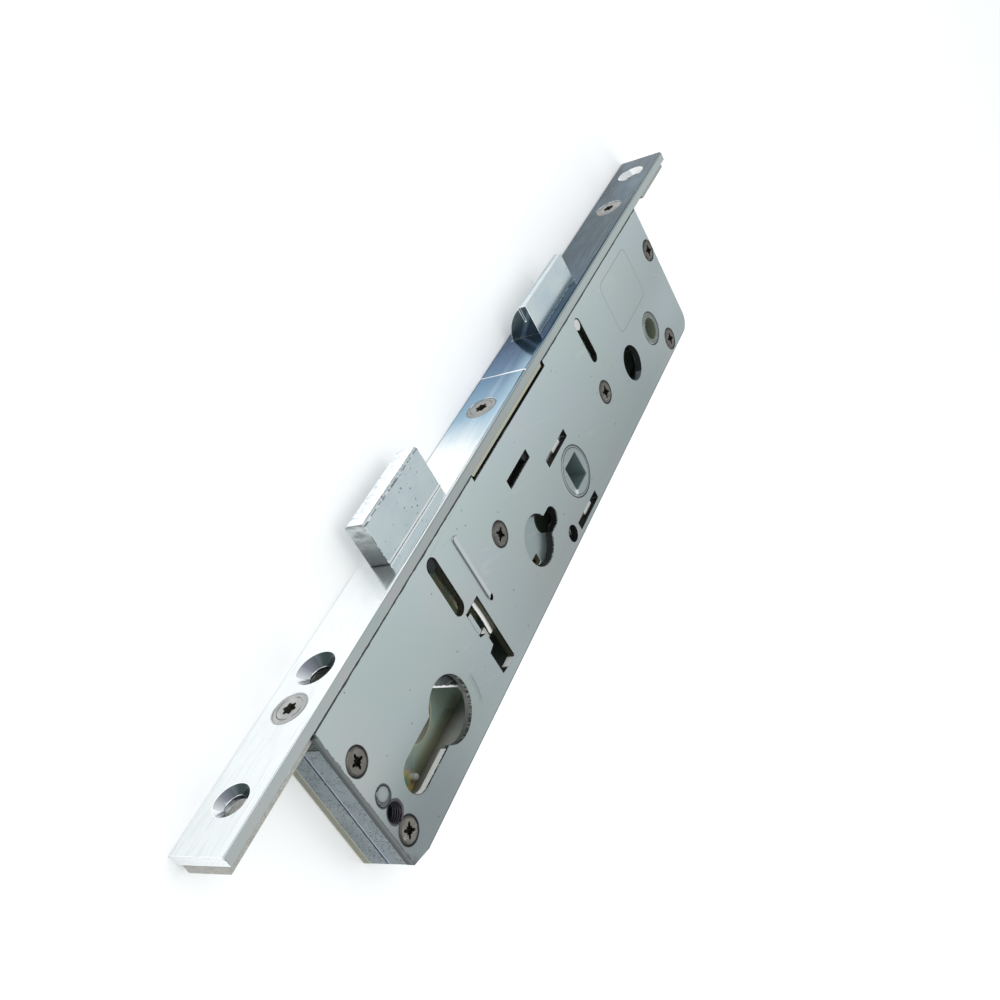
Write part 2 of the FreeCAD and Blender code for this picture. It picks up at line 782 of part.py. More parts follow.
def view_opening(z0, z1):
    """The window over the locking lever, with a bump in its lower edge."""
    bump_top = view_low + bump_tall
    return flat_body([
        (view_left, view_low),
        (bump_left, view_low),
        (bump_left + bump_lean, bump_top),
        (bump_right - bump_lean / 2, bump_top),
        (bump_right, view_low),
        (view_right - view_lean, view_low),
        (view_right, (view_low + view_high) / 2),
        (view_right, view_high),
        (view_left, view_high),
    ], z0, z1)


def far_case_plate():
    plate = flat_body(case_outline(case_front), -out_z, -in_z)
    below = -out_z - OVER
    above = layer_gap - in_z
    cutters = common_openings(below, above)
    for x, y in CASE_SCREWS:
        cutters.append(disc(x, y, below, above, case_shank + screw_fit))
    cutters.append(disc(stud_head_x, bottom_row, below, above, stud_head_round))
    return cut("far_case_plate", plate, cutters)


def keeper_strip():
    rear = case_front + keeper_thick
    return part("keeper_strip", flat_body([
        (case_front, notch_low + keeper_gap),
        (rear, notch_low + keeper_gap + keeper_thick / 2),
        (rear, notch_high - keeper_gap - keeper_thick / 2),
        (case_front, notch_high - keeper_gap),
    ], in_z, out_z - keeper_drop))


def end_block(label, z0, z1):
    blank = flat_body([
        (block_left, case_low + block_round),
        (block_left, block_top),
        (block_right, block_top),
        (block_right, case_low),
        (block_left + block_round, case_low),
    ], z0, z1)
    screw = rod(case_front, face_front + face_screw_long + OVER, bottom_row, 0, face_shank + screw_fit)
    cutters = [screw, disc(stud_head_x, bottom_row, z0, z1, stud_head_round)]
    for x, y in CASE_SCREWS[:2]:
        cutters.append(disc(x, y, z0, z1, case_shank + screw_fit))
    cutters.append(disc(tapped_x, bottom_row, z0, z1, tapped_round))
    return cut(label, blank, cutters)


def top_block():
    blank = box(block_left, block_right, case_above - top_block_tall, case_above, -in_z, in_z)
    screw = rod(block_left - OVER, face_front + face_screw_long + OVER, face_screw_top, 0,
                face_shank + screw_fit)
    corner = box(case_rear - case_round, case_rear, case_above - case_round, case_above + OVER,
                 -case_thick, case_thick)
    shank = disc(front_screw_x, top_screw_y, -in_z, in_z, case_shank + screw_fit)
    return cut("top_block", blank, [screw, corner, shank])


def middle_lug():
    blank = box(case_front, case_front + lug_deep, face_screw_middle - lug_tall / 2,
                face_screw_middle + lug_tall / 2, -in_z, in_z)
    screw = rod(case_front - OVER, case_front + lug_deep + OVER, face_screw_middle, 0,
                face_shank + screw_fit)
    return cut("middle_lug", blank, [screw])


def case_posts():
    posts = []
    for x, y in (CASE_SCREWS[2], CASE_SCREWS[3], CASE_SCREWS[5]):
        bore = disc(x, y, -in_z, in_z, case_shank + screw_fit)
        posts.append(cut("", disc(x, y, -in_z, in_z, post_round), [bore]))
    return group("case_posts", posts)


def case_screws():
    long = out_z + head_proud + out_z + tip_proud
    screws = []
    for x, y in CASE_SCREWS:
        screw = countersunk_screw(case_shank, case_head, case_head_deep, head_rim, long)
        screws.append(place(screw, x, y, out_z + head_proud))
    return group("case_screws", screws)


def faceplate_screws():
    screws = []
    for y in FACE_SCREWS:
        screw = countersunk_screw(face_shank, face_head, face_head_deep, head_rim,
                                  face_screw_long)
        turned(screw, Vector(0, 1, 0), -90)
        screws.append(place(screw, face_front, y, 0))
    return group("faceplate_screws", screws)


def handle_bush():
    outer = disc(0, bush_place, -out_z, out_z, bush_round - screw_fit)
    return cut("handle_bush", outer, [disc(0, bush_place, -case_thick, case_thick, bush_bore)])


def riveted_stud():
    return part("riveted_stud", disc(stud_head_x, bottom_row, -out_z, out_z,
                                     stud_head_round - screw_fit))


def spindle_follower():
    tip_x = -lever_reach * sine(lever_lean)
    tip_y = spindle_place + lever_reach * cosine(lever_lean)
    boss = disc(0, spindle_place, -out_z, out_z, hub_round)
    flange = disc(0, spindle_place, 0, disc_thick, disc_round)
    tip = disc(tip_x, tip_y, 0, lever_thick, lever_tip)
    lever = flat_body([
        (-lever_root, spindle_place),
        (lever_root, spindle_place),
        (tip_x + lever_tip, tip_y),
        (tip_x - lever_tip, tip_y),
    ], 0, lever_thick)
    tooth = box(hub_round / 2, tooth_reach, spindle_place - tooth_half,
                spindle_place + tooth_half, disc_thick, disc_thick + tooth_thick)
    square = box(-hub_square / 2, hub_square / 2, spindle_place - hub_square / 2,
                 spindle_place + hub_square / 2, -case_thick, case_thick)
    body = fuse("", [boss, flange, tip, lever, tooth])
    return cut("spindle_follower", body, [square])


def latch():
    tip_z = latch_half - latch_tip_flat
    head = long_body([
        (latch_front, latch_half),
        (latch_back, latch_half),
        (latch_back, -latch_half),
        (face_front + latch_nose_start, -latch_half, -latch_bulge),
        (latch_front, tip_z),
    ], latch_low, latch_high)
    seat = latch_back - tail_seat
    half_tail = latch_tail_thick / 2
    tail_room = box(seat, latch_back + OVER, latch_tail_low, latch_tail_high, -half_tail, half_tail)
    groove_floor = tip_z - cheek_groove
    groove = box(latch_front - OVER, face_front - latch_out / 2, latch_low - OVER,
                 latch_low + cheek_groove, groove_floor, tip_z)
    pin_hole = disc(latch_pin_x, latch_pin_y, -half_tail, latch_half + OVER, latch_pin_round)
    cut("latch_head", head, [tail_room, groove, pin_hole, pad_bead(screw_fit)])
    part("latch_wear_pad", pad_bead(0))

    window_left = latch_screw_x - post_round - window_gap - latch_travel
    window_right = latch_screw_x + post_round + window_gap
    hook_left = hook_face()
    hook_right = hook_left + hook_thick
    plate = flat_body([
        (seat, latch_tail_low),
        (hook_left, latch_tail_low),
        (hook_left, hook_low),
        (hook_right, hook_low),
        (hook_right, latch_tail_high),
        (seat, latch_tail_high),
    ], -half_tail, half_tail)
    window = box(window_left, window_right, latch_screw_y - window_half,
                 latch_screw_y + window_half, -latch_thick, latch_thick)
    pin_bore = disc(latch_pin_x, latch_pin_y, -latch_thick, latch_thick, latch_pin_round)
    cut("latch_tail", plate, [window, pin_bore])
    part("latch_guide_pin", disc(latch_pin_x, latch_pin_y, -half_tail, out_z - pin_below_face,
                                 latch_pin_round))


def pad_bead(room):
    """A round insert, half sunk in the latch's slope, or with some room its seat."""
    bead = turned(doc.addObject("Part::Cylinder", "Bead"), Vector(1, 0, 0), -90)
    bind(bead, Radius=pad_round + room, Height=pad_tall + room * 2)
    return place(bead, face_front - pad_out, pad_low - room, pad_z)


def hook_face():
    """Where the latch's hook starts: a gap behind the tip of the follower's lever."""
    return lever_tip + hook_gap - lever_reach * sine(lever_lean)


def latch_stop():
    """The latch spring pushes against this block between the plates."""
    return part("latch_spring_stop", box(
        latch_stop_x, latch_stop_x + latch_stop_thick,
        latch_spring_y - latch_stop_half, latch_spring_y + latch_stop_half, -in_z, in_z))


def latch_spring():
    long = latch_stop_x - latch_back - spring_end_gap * 2 - spring_wire
    spring = coil("latch_spring", latch_spring_round, spring_wire, latch_spring_turns, long)
    turned(spring, Vector(0, 1, 0), 90)
    return place(spring, latch_back + spring_end_gap + spring_wire / 2, latch_spring_y,
                 latch_spring_z)


def deadbolt():
    body = flat_body([
        (bolt_front, bolt_low),
        (bolt_back, bolt_low),
        (bolt_back, bolt_high),
        (bolt_front, bolt_high),
    ], -bolt_half, bolt_half)
    doc.recompute()
    solid = body.Tip
    front = []
    for number, edge in enumerate(solid.Shape.Edges, 1):
        bounds = edge.BoundBox
        if bounds.XMax < bolt_front.value + NEAR and bounds.YLength > bolt_tall.value / 2:
            front.append("Edge%d" % number)
    bevel = body.newObject("PartDesign::Chamfer", "Bevel")
    bevel.Base = (solid, front)
    bind(bevel, Size=bolt_bevel)
    seat = bolt_back - tail_seat
    half_tail = bolt_tail_thick / 2
    room = box(seat, bolt_back + OVER, bolt_tail_low, bolt_tail_high, -half_tail, half_tail)
    hole = disc(guide_pin_x, guide_pin_y, 0, bolt_thick, guide_pin_round)
    cut("deadbolt", body, [room, hole])
    plate = flat_body([
        (seat, bolt_tail_low),
        (bolt_tail_end, bolt_tail_low),
        (bolt_tail_end, bolt_tail_high),
        (seat, bolt_tail_high),
    ], -half_tail, half_tail)
    cut("deadbolt_tail", plate, [disc(cam_pin_x, cam_pin_y, -bolt_half, bolt_half, cam_pin_round)])
    part("deadbolt_guide_pin", disc(guide_pin_x, guide_pin_y, 0, out_z - pin_below_face,
                                    guide_pin_round))
    part("deadbolt_cam_pin", disc(cam_pin_x, cam_pin_y, drive_low_z, half_tail + cam_pin_head,
                                  cam_pin_round))


def drive_slide():
    outline_corners = [
        (strip_left, strip_low),
        (strip_right, strip_low),
        (strip_right, cam_plate_low),
        (cam_plate_right, cam_plate_low),
        (cam_plate_right, cam_plate_high),
        (strip_right, cam_plate_high),
        (strip_right, strip_high),
        (bar_front, strip_high),
        (bar_front, strip_high - arm_tall),
        (strip_left, strip_high - arm_tall),
        (strip_left, cam_plate_high),
        (ear_right, cam_plate_high),
        (ear_right, ear_high),
        (cam_plate_left, ear_high),
        (cam_plate_left, cam_plate_low),
        (strip_left, cam_plate_low),
        (strip_left, strip_low + arm_tall),
        (bar_front, strip_low + arm_tall),
        (bar_front, strip_low),
    ]
    plate = flat_body(outline_corners, drive_low_z, drive_high_z)
    low = -case_thick
    post_room = slot_y(middle_screw_x, middle_screw_y - post_round - post_gap,
                       middle_screw_y + post_round + post_gap + drive_travel,
                       post_round + post_gap, low, 0)
    stud_hole = disc(drive_stud_x, drive_stud_y, low, 0, drive_stud_round)
    cut("drive_slide", plate, [post_room, stud_hole, cam_slot(low, 0)])
    part("drive_stud", disc(drive_stud_x, drive_stud_y, drive_low_z, drive_stud_top,
                            drive_stud_round))


def cam_slot(z0, z1):
    """The slanted slot that the deadbolt's cam pin crosses while the slide moves its travel."""
    half = cam_pin_round + cam_fit
    reach_x = bolt_out
    reach_y = drive_travel
    ends = [disc(cam_pin_x, cam_pin_y, z0, z1, half),
            disc(cam_pin_x + reach_x, cam_pin_y + reach_y, z0, z1, half)]
    long = Size("sqrt(%s ^ 2 + %s ^ 2)" % (reach_x.text, reach_y.text),
                math.hypot(reach_x.value, reach_y.value))
    middle = doc.addObject("Part::Box", "CamSlot")
    bind(middle, Length=long, Width=half * 2, Height=as_size(z1) - z0)
    middle.Placement = Placement(Vector(0, 0, 0), Rotation(Vector(0, 0, 1), 1))
    angle = Size("atan2(%s; %s)" % (reach_y.text, reach_x.text), 0)
    middle.setExpression("Placement.Rotation.Angle", angle.text)
    place(middle, cam_pin_x + half * reach_y / long, cam_pin_y - half * reach_x / long, z0)
    return fuse("", ends + [middle])


def drive_bar(label, y0, y1, wide_low, wide_high, slots, tongue_y):
    """A bar behind the faceplate, wider where it is clear of the case."""
    blank = fuse("", [box(bar_front, bar_back, y0, y1, -bar_half, bar_half),
                      box(bar_front, bar_back, wide_low, wide_high, -bar_wide_half, bar_wide_half)])
    cutters = [bar_slot(bar_front - OVER, bar_back + OVER, low, high, bar_slot_half)
               for low, high in slots]
    cutters.append(box(bar_front - OVER, bar_back + OVER, tongue_y, tongue_y + arm_tall,
                       drive_low_z, drive_high_z))
    return cut(label, blank, cutters)


def return_slide():
    tooth_low = spindle_place - tooth_room_half
    tooth_high = spindle_place + tooth_room_half
    room = tooth_reach + tooth_room_gap
    plate = flat_body([
        (-slide_outer, slide_low),
        (slide_outer, slide_low),
        (slide_outer, slide_high),
        (slide_inner, slide_high),
        (slide_inner, tooth_high),
        (room, tooth_high),
        (room, tooth_low),
        (slide_inner, tooth_low),
        (slide_inner, slide_low + slide_bridge),
        (-slide_inner, slide_low + slide_bridge),
        (-slide_inner, slide_high),
        (-slide_outer, slide_high),
    ], slide_low_z, slide_high_z)
    pieces = [plate]
    for x, top in ((tab_front_x, tab_top_front), (tab_rear_x, tab_top_rear)):
        pieces.append(box(x - tab_half, x + tab_half, top - tab_tall, top, slide_low_z, tab_top_z))
    for x0, x1 in ((-slide_outer, -slide_inner), (slide_inner, slide_outer)):
        pieces.append(box(x0, x1, slide_low, slide_low + foot_thick, foot_bottom, slide_low_z))
    return fuse("return_slide", pieces)


def spring_seat():
    return part("spring_seat", box(-seat_outer, seat_outer, seat_low, seat_low + seat_tall,
                                   seat_bottom, in_z))


def return_springs():
    start = seat_low + seat_tall + spring_end_gap
    long = slide_low - start - spring_end_gap - spring_wire
    for label, x in (("return_spring_front", -spring_x), ("return_spring_rear", spring_x)):
        spring = coil(label, spring_round, spring_wire, spring_turns, long)
        turned(spring, Vector(1, 0, 0), -90)
        place(spring, x, start + spring_wire / 2, spring_z)


def blank_plate():
    top = in_z - blank_gap
    low = top - blank_thick
    square = box(blank_left, blank_x, blank_y - blank_round, blank_y + blank_round, low, top)
    plate = fuse("", [square, disc(blank_x, blank_y, low, top, blank_round)])
    notch_left = blank_x + notch_start
    cutters = [
        disc(blank_x - bite_left, blank_y + bite_rise, -in_z, in_z, bite_round),
        box(notch_left, notch_left + notch_wide, blank_y - blank_round - OVER,
            blank_y - notch_drop, -in_z, in_z),
    ]
    leg = disc(blank_x + leg_right, blank_y + leg_rise, -in_z, top, leg_round)
    return fuse("blank_plate", [cut("", plate, cutters), leg])


def locking_lever():
    part("lever_pivot", disc(pivot_x, pivot_y, -in_z, in_z, pivot_round))
    arm = flat_body([
        (pivot_x, lock_low),
        (lock_nose, lock_low),
        (lock_nose, lock_high - lock_nose_drop),
        (lock_tab_right, lock_high),
        (lock_tab_right, lock_tab_top),
        (lock_tab_left, lock_tab_top),
        (lock_tab_left, lock_high),
        (pivot_x, pivot_y + lock_boss),
    ], lock_low_z, lock_high_z)
    boss = disc(pivot_x, pivot_y, lock_low_z, lock_high_z, lock_boss)
    bore = disc(pivot_x, pivot_y, -case_thick, case_thick, pivot_round + pivot_fit)
    cut("locking_lever", fuse("", [arm, boss]), [bore])
    spring = coil("lever_spring", lock_spring_round, lock_spring_wire, lock_spring_turns,
                  lock_spring_long)
    place(spring, pivot_x, pivot_y, lock_low_z - lock_spring_long - spring_end_gap)


faceplate()
near_case()
far_case_plate()
keeper_strip()
end_block("near_end_block", block_seam / 2, in_z)
end_block("far_end_block", -in_z, -block_seam / 2)
top_block()
middle_lug()
case_posts()
case_screws()
faceplate_screws()
handle_bush()
riveted_stud()
spindle_follower()
latch()
latch_stop()
latch_spring()
deadbolt()
drive_slide()
drive_bar("lower_drive_bar", -face_below, lower_bar_top, -face_below, case_low - bar_case_gap, [
    (door_hole_low, door_hole_low + drive_travel),
    (bottom_row, key_screw_place + drive_travel),
], strip_low)
drive_bar("upper_drive_bar", strip_high - bar_lap, face_above,
          case_above + drive_travel + bar_case_gap, face_above, [
              (face_screw_top, face_screw_top + drive_travel),
              (door_hole_high, face_above + bar_slot_half),
          ], strip_high - arm_tall)
return_slide()
spring_seat()
return_springs()
blank_plate()
locking_lever()
doc.recompute()

for item in doc.Objects:
    if "Invalid" in item.State or "Error" in item.State:
        raise RuntimeError("%s failed: %s" % (item.Label, item.State))
os.makedirs("parts", exist_ok=True)
for feature in parts_made:
    shape = feature.Shape
    if shape.isNull() or not shape.isValid():
        raise RuntimeError("%s has no valid shape" % feature.Label)
for feature in parts_made:
    feature.Shape.exportStep(os.path.join("parts", feature.Label + ".step"))
    bounds = feature.Shape.BoundBox
    print("%s: %d solids, %.0f mm3, x %.1f..%.1f y %.1f..%.1f z %.1f..%.1f" % (
        feature.Label, len(feature.Shape.Solids), feature.Shape.Volume, bounds.XMin,
        bounds.XMax, bounds.YMin, bounds.YMax, bounds.ZMin, bounds.ZMax))
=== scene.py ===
# %% [markdown]
# A door lock case lies on its far side: a bright strip with a latch and a deadbolt, and behind it a
# flat zinc-plated case full of openings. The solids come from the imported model, and this script
# gives them rounded edges, real fasteners, springs and finishes.

# %% Load the frame
import math
import bmesh
import bpy
from mathutils import Matrix, Vector


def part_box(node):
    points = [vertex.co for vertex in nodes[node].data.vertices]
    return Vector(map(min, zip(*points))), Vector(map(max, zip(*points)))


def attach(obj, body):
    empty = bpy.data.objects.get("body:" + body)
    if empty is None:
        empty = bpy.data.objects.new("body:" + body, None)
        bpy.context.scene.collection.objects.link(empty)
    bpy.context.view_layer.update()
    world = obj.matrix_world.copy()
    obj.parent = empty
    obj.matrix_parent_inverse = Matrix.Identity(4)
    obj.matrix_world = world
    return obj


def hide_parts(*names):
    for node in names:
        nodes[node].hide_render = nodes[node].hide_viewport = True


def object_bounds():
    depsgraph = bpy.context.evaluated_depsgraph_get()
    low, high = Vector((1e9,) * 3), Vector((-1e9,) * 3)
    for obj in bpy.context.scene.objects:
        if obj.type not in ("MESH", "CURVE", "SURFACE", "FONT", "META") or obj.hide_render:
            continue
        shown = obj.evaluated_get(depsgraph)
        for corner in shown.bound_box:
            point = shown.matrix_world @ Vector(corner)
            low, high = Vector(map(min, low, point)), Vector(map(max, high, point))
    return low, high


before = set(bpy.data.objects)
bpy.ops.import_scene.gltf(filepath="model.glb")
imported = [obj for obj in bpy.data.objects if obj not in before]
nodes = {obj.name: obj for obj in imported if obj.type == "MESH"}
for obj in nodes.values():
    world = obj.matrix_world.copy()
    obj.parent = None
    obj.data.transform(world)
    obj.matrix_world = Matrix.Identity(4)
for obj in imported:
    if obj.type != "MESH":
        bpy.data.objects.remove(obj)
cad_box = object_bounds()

MM = 0.001
X, Y, Z = 0, 1, 2

# %% [markdown]
# The camera stands where the photograph was taken. Its place and turn were worked out from the
# cylinder opening, the spindle and the strip's edges, whose real sizes are known. A camera looks
# along its own minus Z, so its turn is built from the way it looks and the way its top points.

# %% The camera
CAMERA_PLACE = Vector((-179.6, -175.2, 200.9)) * MM
CAMERA_LOOKS = Vector((0.4697, 0.6773, -0.5663))
CAMERA_TOP = Vector((-0.7582, 0.6380, 0.1342))
LENS_MM = 46.76
SENSOR_MM = 36.0
NEAREST_SEEN = 0.01

side = CAMERA_LOOKS.cross(CAMERA_TOP).normalized()
top = side.cross(CAMERA_LOOKS).normalized()
turn = Matrix((side, top, -CAMERA_LOOKS.normalized())).transposed().to_4x4()
lens = bpy.data.cameras.new("view")
lens.lens = LENS_MM
lens.sensor_width = SENSOR_MM
lens.clip_start = NEAREST_SEEN
camera = bpy.data.objects.new("view", lens)
camera.matrix_world = Matrix.Translation(CAMERA_PLACE) @ turn
bpy.context.scene.collection.objects.link(camera)
bpy.context.scene.camera = camera
print("camera height in mm:", round(CAMERA_PLACE.z / MM, 1))

# %% [markdown]
# A finish is a sum: where a mark lies, how strong it is and what it covers. Node trees write such
# sums as boxes and links. Here a Field stands for one output of a node, and a sign between two
# fields places the Math node that works it out, so that a pattern can be read as a formula.

# %% Fields: sums made of nodes
class Field:
    """One output of a node, which can be added, multiplied and compared."""

    def __init__(self, socket):
        self.socket = socket
        self.tree = socket.id_data

    def __add__(self, other):
        return calc("ADD", self, other)

    def __sub__(self, other):
        return calc("SUBTRACT", self, other)

    def __rsub__(self, other):
        return calc("SUBTRACT", other, self)

    def __mul__(self, other):
        return calc("MULTIPLY", self, other)

    def __truediv__(self, other):
        return calc("DIVIDE", self, other)

    def __lt__(self, other):
        return calc("LESS_THAN", self, other)

    def __gt__(self, other):
        return calc("GREATER_THAN", self, other)

    def __abs__(self):
        return calc("ABSOLUTE", self)

    def scaled(self, factor, plus):
        """The field times a factor, plus a value, in one node."""
        return calc("MULTIPLY_ADD", self, factor, plus)

    def clamped(self):
        """The same field, held between 0 and 1."""
        self.socket.node.use_clamp = True
        return self


def join(value, socket):
    """Link a field to a socket, or set the socket's own value."""
    if isinstance(value, Field):
        value.tree.links.new(value.socket, socket)
    else:
        socket.default_value = value


def add(tree, kind, settings=None, take=0, **inputs):
    """Place one node, set its options and inputs, and give one of its outputs. i2 is input 2."""
    node = tree.nodes.new(kind)
    for key, value in (settings or {}).items():
        setattr(node, key, value)
    for key, value in inputs.items():
        join(value, node.inputs[int(key[1:]) if key[0] == "i" and key[1:].isdigit() else key])
    return Field(node.outputs[take])


def tree_of(*values):
    """The tree that the first field among some values belongs to."""
    return next(value.tree for value in values if isinstance(value, Field))


def calc(operation, first, second=0.0, third=0.0):
    return add(tree_of(first, second, third), "ShaderNodeMath", {"operation": operation},
               i0=first, i1=second, i2=third)


def greater_of(first, second):
    return calc("MAXIMUM", first, second)


def length(first, second):
    """The length of a step with these two parts."""
    return calc("SQRT", first * first + second * second)


def rise(value, low, high):
    """0 below low, 1 above high, and a smooth rise between."""
    return add(value.tree, "ShaderNodeMapRange", {"interpolation_type": "SMOOTHSTEP"},
               i0=value, i1=low, i2=high, i3=0.0, i4=1.0)


def fall(value, low, high):
    return 1.0 - rise(value, low, high)


def between(value, low, high, soft):
    """1 between two values, with soft ends."""
    return rise(value, low - soft, low + soft) * fall(value, high - soft, high + soft)


def spread(value, low, high, at_low=0.0, at_high=1.0):
    """A straight line from one value to another, flat outside them."""
    return add(value.tree, "ShaderNodeMapRange", i0=value, i1=low, i2=high, i3=at_low, i4=at_high)


def with_alpha(colour):
    return colour if isinstance(colour, Field) else (*colour, 1.0)


def blend(share, first, second, way="MIX"):
    """The second colour laid over the first by a share."""
    return add(tree_of(share, first, second), "ShaderNodeMix", {"data_type": "RGBA", "blend_type": way},
               take=2, i0=share, i6=with_alpha(first), i7=with_alpha(second))


def ramp(value, stops):
    """Colours at given places, as (place, red, green, blue)."""
    made = add(value.tree, "ShaderNodeValToRGB", i0=value)
    elements = made.socket.node.color_ramp.elements
    for number, (place, *colour) in enumerate(stops):
        stop = elements[number] if number < 2 else elements.new(place)
        stop.position = place
        stop.color = with_alpha(colour)
    return made


print("signs that place Math nodes: + - * / < > and abs()")


# %% Where a point is, and noise
def object_place(tree):
    """Object coordinates, so that a pattern stays on the metal."""
    return add(tree, "ShaderNodeTexCoord", take="Object")


def mapped(tree, scale=(1.0, 1.0, 1.0), turn=(0.0, 0.0, 0.0)):
    """Object coordinates, stretched and turned by a Mapping node."""
    return add(tree, "ShaderNodeMapping", i0=object_place(tree), i2=turn, i3=scale)


def axes(tree):
    """How far a point lies along X, Y and Z."""
    parts = add(tree, "ShaderNodeSeparateXYZ", i0=object_place(tree))
    return [Field(socket) for socket in parts.socket.node.outputs]


def marked(tree, *names):
    """The numbers that the mesh carries on its faces."""
    found = [add(tree, "ShaderNodeAttribute", {"attribute_name": name}, take="Fac") for name in names]
    return found if len(found) > 1 else found[0]


def noise(where, scale, detail, take="Fac", **more):
    return add(where.tree, "ShaderNodeTexNoise", take=take, i0=where, Scale=scale, Detail=detail, **more)


def vector_sum(operation, first, second):
    return add(first.tree, "ShaderNodeVectorMath", {"operation": operation}, i0=first, i1=second)


def cells(where, scale, channel, **more):
    """Random cells: the distance from a cell's centre, and one random number for each cell."""
    near = add(where.tree, "ShaderNodeTexVoronoi", {"feature": "F1"}, take="Distance", i0=where,
               Scale=scale, **more)
    tint = Field(near.socket.node.outputs["Color"])
    return near, add(where.tree, "ShaderNodeSeparateColor", take=channel, i0=tint)


# %% [markdown]
# Finishes share a few effects: blotches of three tones, dark specks, hairline scratches, brushing
# and small pits. Each one is a shader node group with its own named inputs, built once and placed
# in every material that shows it.

# %% A helper that makes a node group
def kind_of(usual):
    """The kind of socket that a usual value asks for. A word names the kind itself."""
    if isinstance(usual, str):
        return usual
    if isinstance(usual, (int, float)):
        return "Int" if isinstance(usual, int) else "Float"
    return "Vector" if len(usual) == 3 else "Color"


def start_tree(name, family, inputs, outputs):
    """A node tree, its inputs as fields by name, and the sockets of its outputs."""
    tree = bpy.data.node_groups.new(name, family)
    for label, usual in inputs.items():
        kind = "NodeSocket" + kind_of(usual)
        socket = tree.interface.new_socket(label, in_out="INPUT", socket_type=kind)
        if not isinstance(usual, str):
            socket.default_value = usual
    for label, kind in outputs.items():
        tree.interface.new_socket(label, in_out="OUTPUT", socket_type="NodeSocket" + kind)
    given = {socket.name: Field(socket) for socket in tree.nodes.new("NodeGroupInput").outputs}
    return tree, given, tree.nodes.new("NodeGroupOutput").inputs


def shader_group(draw, name, inputs, **outputs):
    """A shader node group from a function that takes its inputs and gives its outputs in order."""
    tree, given, gives = start_tree(name, "ShaderNodeTree", inputs, outputs)
    for made, socket in zip(draw(tree, given), gives):
        join(made, socket)
    print("group:", name)
    return tree


# %% Blotches of three tones
def draw_blotches(tree, given):
    where = mapped(tree)
    wide = noise(where, given["Scale"], 4.0, Roughness=0.55)
    shifted = vector_sum("ADD", where, (0.37, 0.11, 0.73))
    other = noise(shifted, given["Scale"] * 0.6, 3.0)
    first = rise(wide, 0.42, 0.68) * given["Amount"]
    second = rise(other, 0.5, 0.72) * given["Amount"]
    colour = blend(first, given["Tone"], given["Second Tone"])
    return blend(second, colour, given["Third Tone"]), wide


BLOTCHES = shader_group(draw_blotches, "plating_blotches", {
    "Scale": 60.0, "Tone": (0.4, 0.43, 0.42, 1), "Second Tone": (0.4, 0.43, 0.46, 1),
    "Third Tone": (0.45, 0.42, 0.43, 1), "Amount": 0.5}, Color="Color", Mask="Float")


# %% Dark specks
def draw_specks(tree, given):
    where = mapped(tree)
    distance, chance = cells(where, given["Scale"], 0, Randomness=1.0)
    chosen = chance < given["Share"]
    reach = given["Size"] * (noise(where, 2600.0, 2.0) + 0.5)
    return [fall(distance / reach, 0.6, 1.1) * chosen]


SPECKS = shader_group(draw_specks, "plating_specks", {"Scale": 900.0, "Size": 0.12, "Share": 0.2},
                      Mask="Float")


# %% Hairline scratches
def draw_scratches(tree, given):
    where = object_place(tree)
    total = None
    for number, lean in enumerate((0.0, 0.9, 2.1)):
        turned = add(tree, "ShaderNodeVectorRotate", {"rotation_type": "EULER_XYZ"}, i0=where,
                     Rotation=given["Turn"])
        leaned = add(tree, "ShaderNodeMapping", i0=turned, i2=(0.0, 0.0, lean),
                     i3=(1.0, 0.055, 0.3), i1=(0.013 * number, 0.0, 0.0))
        line = abs(noise(leaned, given["Scale"], 1.0) - 0.5)
        thin = fall(line / given["Width"], 0.2, 1.0)
        here = rise(noise(where, 70.0 + 23.0 * number, 2.0), given["Share"], 0.75)
        total = thin * here if total is None else greater_of(total, thin * here)
    return [total]


SCRATCHES = shader_group(draw_scratches, "hairline_scratches", {
    "Scale": 120.0, "Turn": (0, 0, 0.4), "Width": 0.02, "Share": 0.5}, Mask="Float")


# %% Brushing along the strip
def draw_brushing(tree, given):
    drawn = add(tree, "ShaderNodeCombineXYZ", i0=1.0, i1=given["Stretch"], i2=1.0)
    along = vector_sum("MULTIPLY", object_place(tree), drawn)
    return noise(along, given["Fine"], 2.0), noise(along, given["Fine"] * 0.16, 3.0)


BRUSHING = shader_group(draw_brushing, "lengthwise_brushing", {"Fine": 3500.0, "Stretch": 0.02},
                        Height="Float", Streaks="Float")


# %% Cast pits
def draw_pits(tree, given):
    where = mapped(tree)
    bend = noise(where, 900.0, 2.0, take="Color")
    amount = add(tree, "ShaderNodeVectorMath", {"operation": "SCALE"}, i0=bend, i3=0.0006)
    distance, chance = cells(vector_sum("ADD", where, amount), given["Scale"], 1)
    crowd = given["Share"] * rise(noise(where, 110.0, 3.0), 0.38, 0.66)
    pit = fall(distance, 0.05, given["Size"]) * (chance < crowd)
    return noise(where, 1600.0, 4.0) * 0.35 - pit, pit


PITS = shader_group(draw_pits, "cast_pits", {"Scale": 700.0, "Share": 0.35, "Size": 0.3},
                    Height="Float", Mask="Float")


# %% [markdown]
# Metal that has been punched, drilled and handled wears on its edges, and its cut walls are
# rougher than its rolled faces. The meshes carry numbers on their faces for this: edge is 1 on a
# rounded edge, wall is 1 on a cut across the sheet, and front, low and upper are 1 on the faces
# that look towards minus X, minus Y and plus Z. A material reads them with an Attribute node.

# %% Rubbed edges and cut walls
def draw_edge_wear(tree, given):
    where = mapped(tree)
    edge, wall = marked(tree, "edge", "wall")
    rubbed = edge * rise(noise(where, 420.0, 4.0), 0.3, 0.55)
    tear = noise(vector_sum("MULTIPLY", where, (1.0, 1.0, 0.25)), 1500.0, 5.0, Roughness=0.7)
    return rubbed * given["Strength"], wall, tear


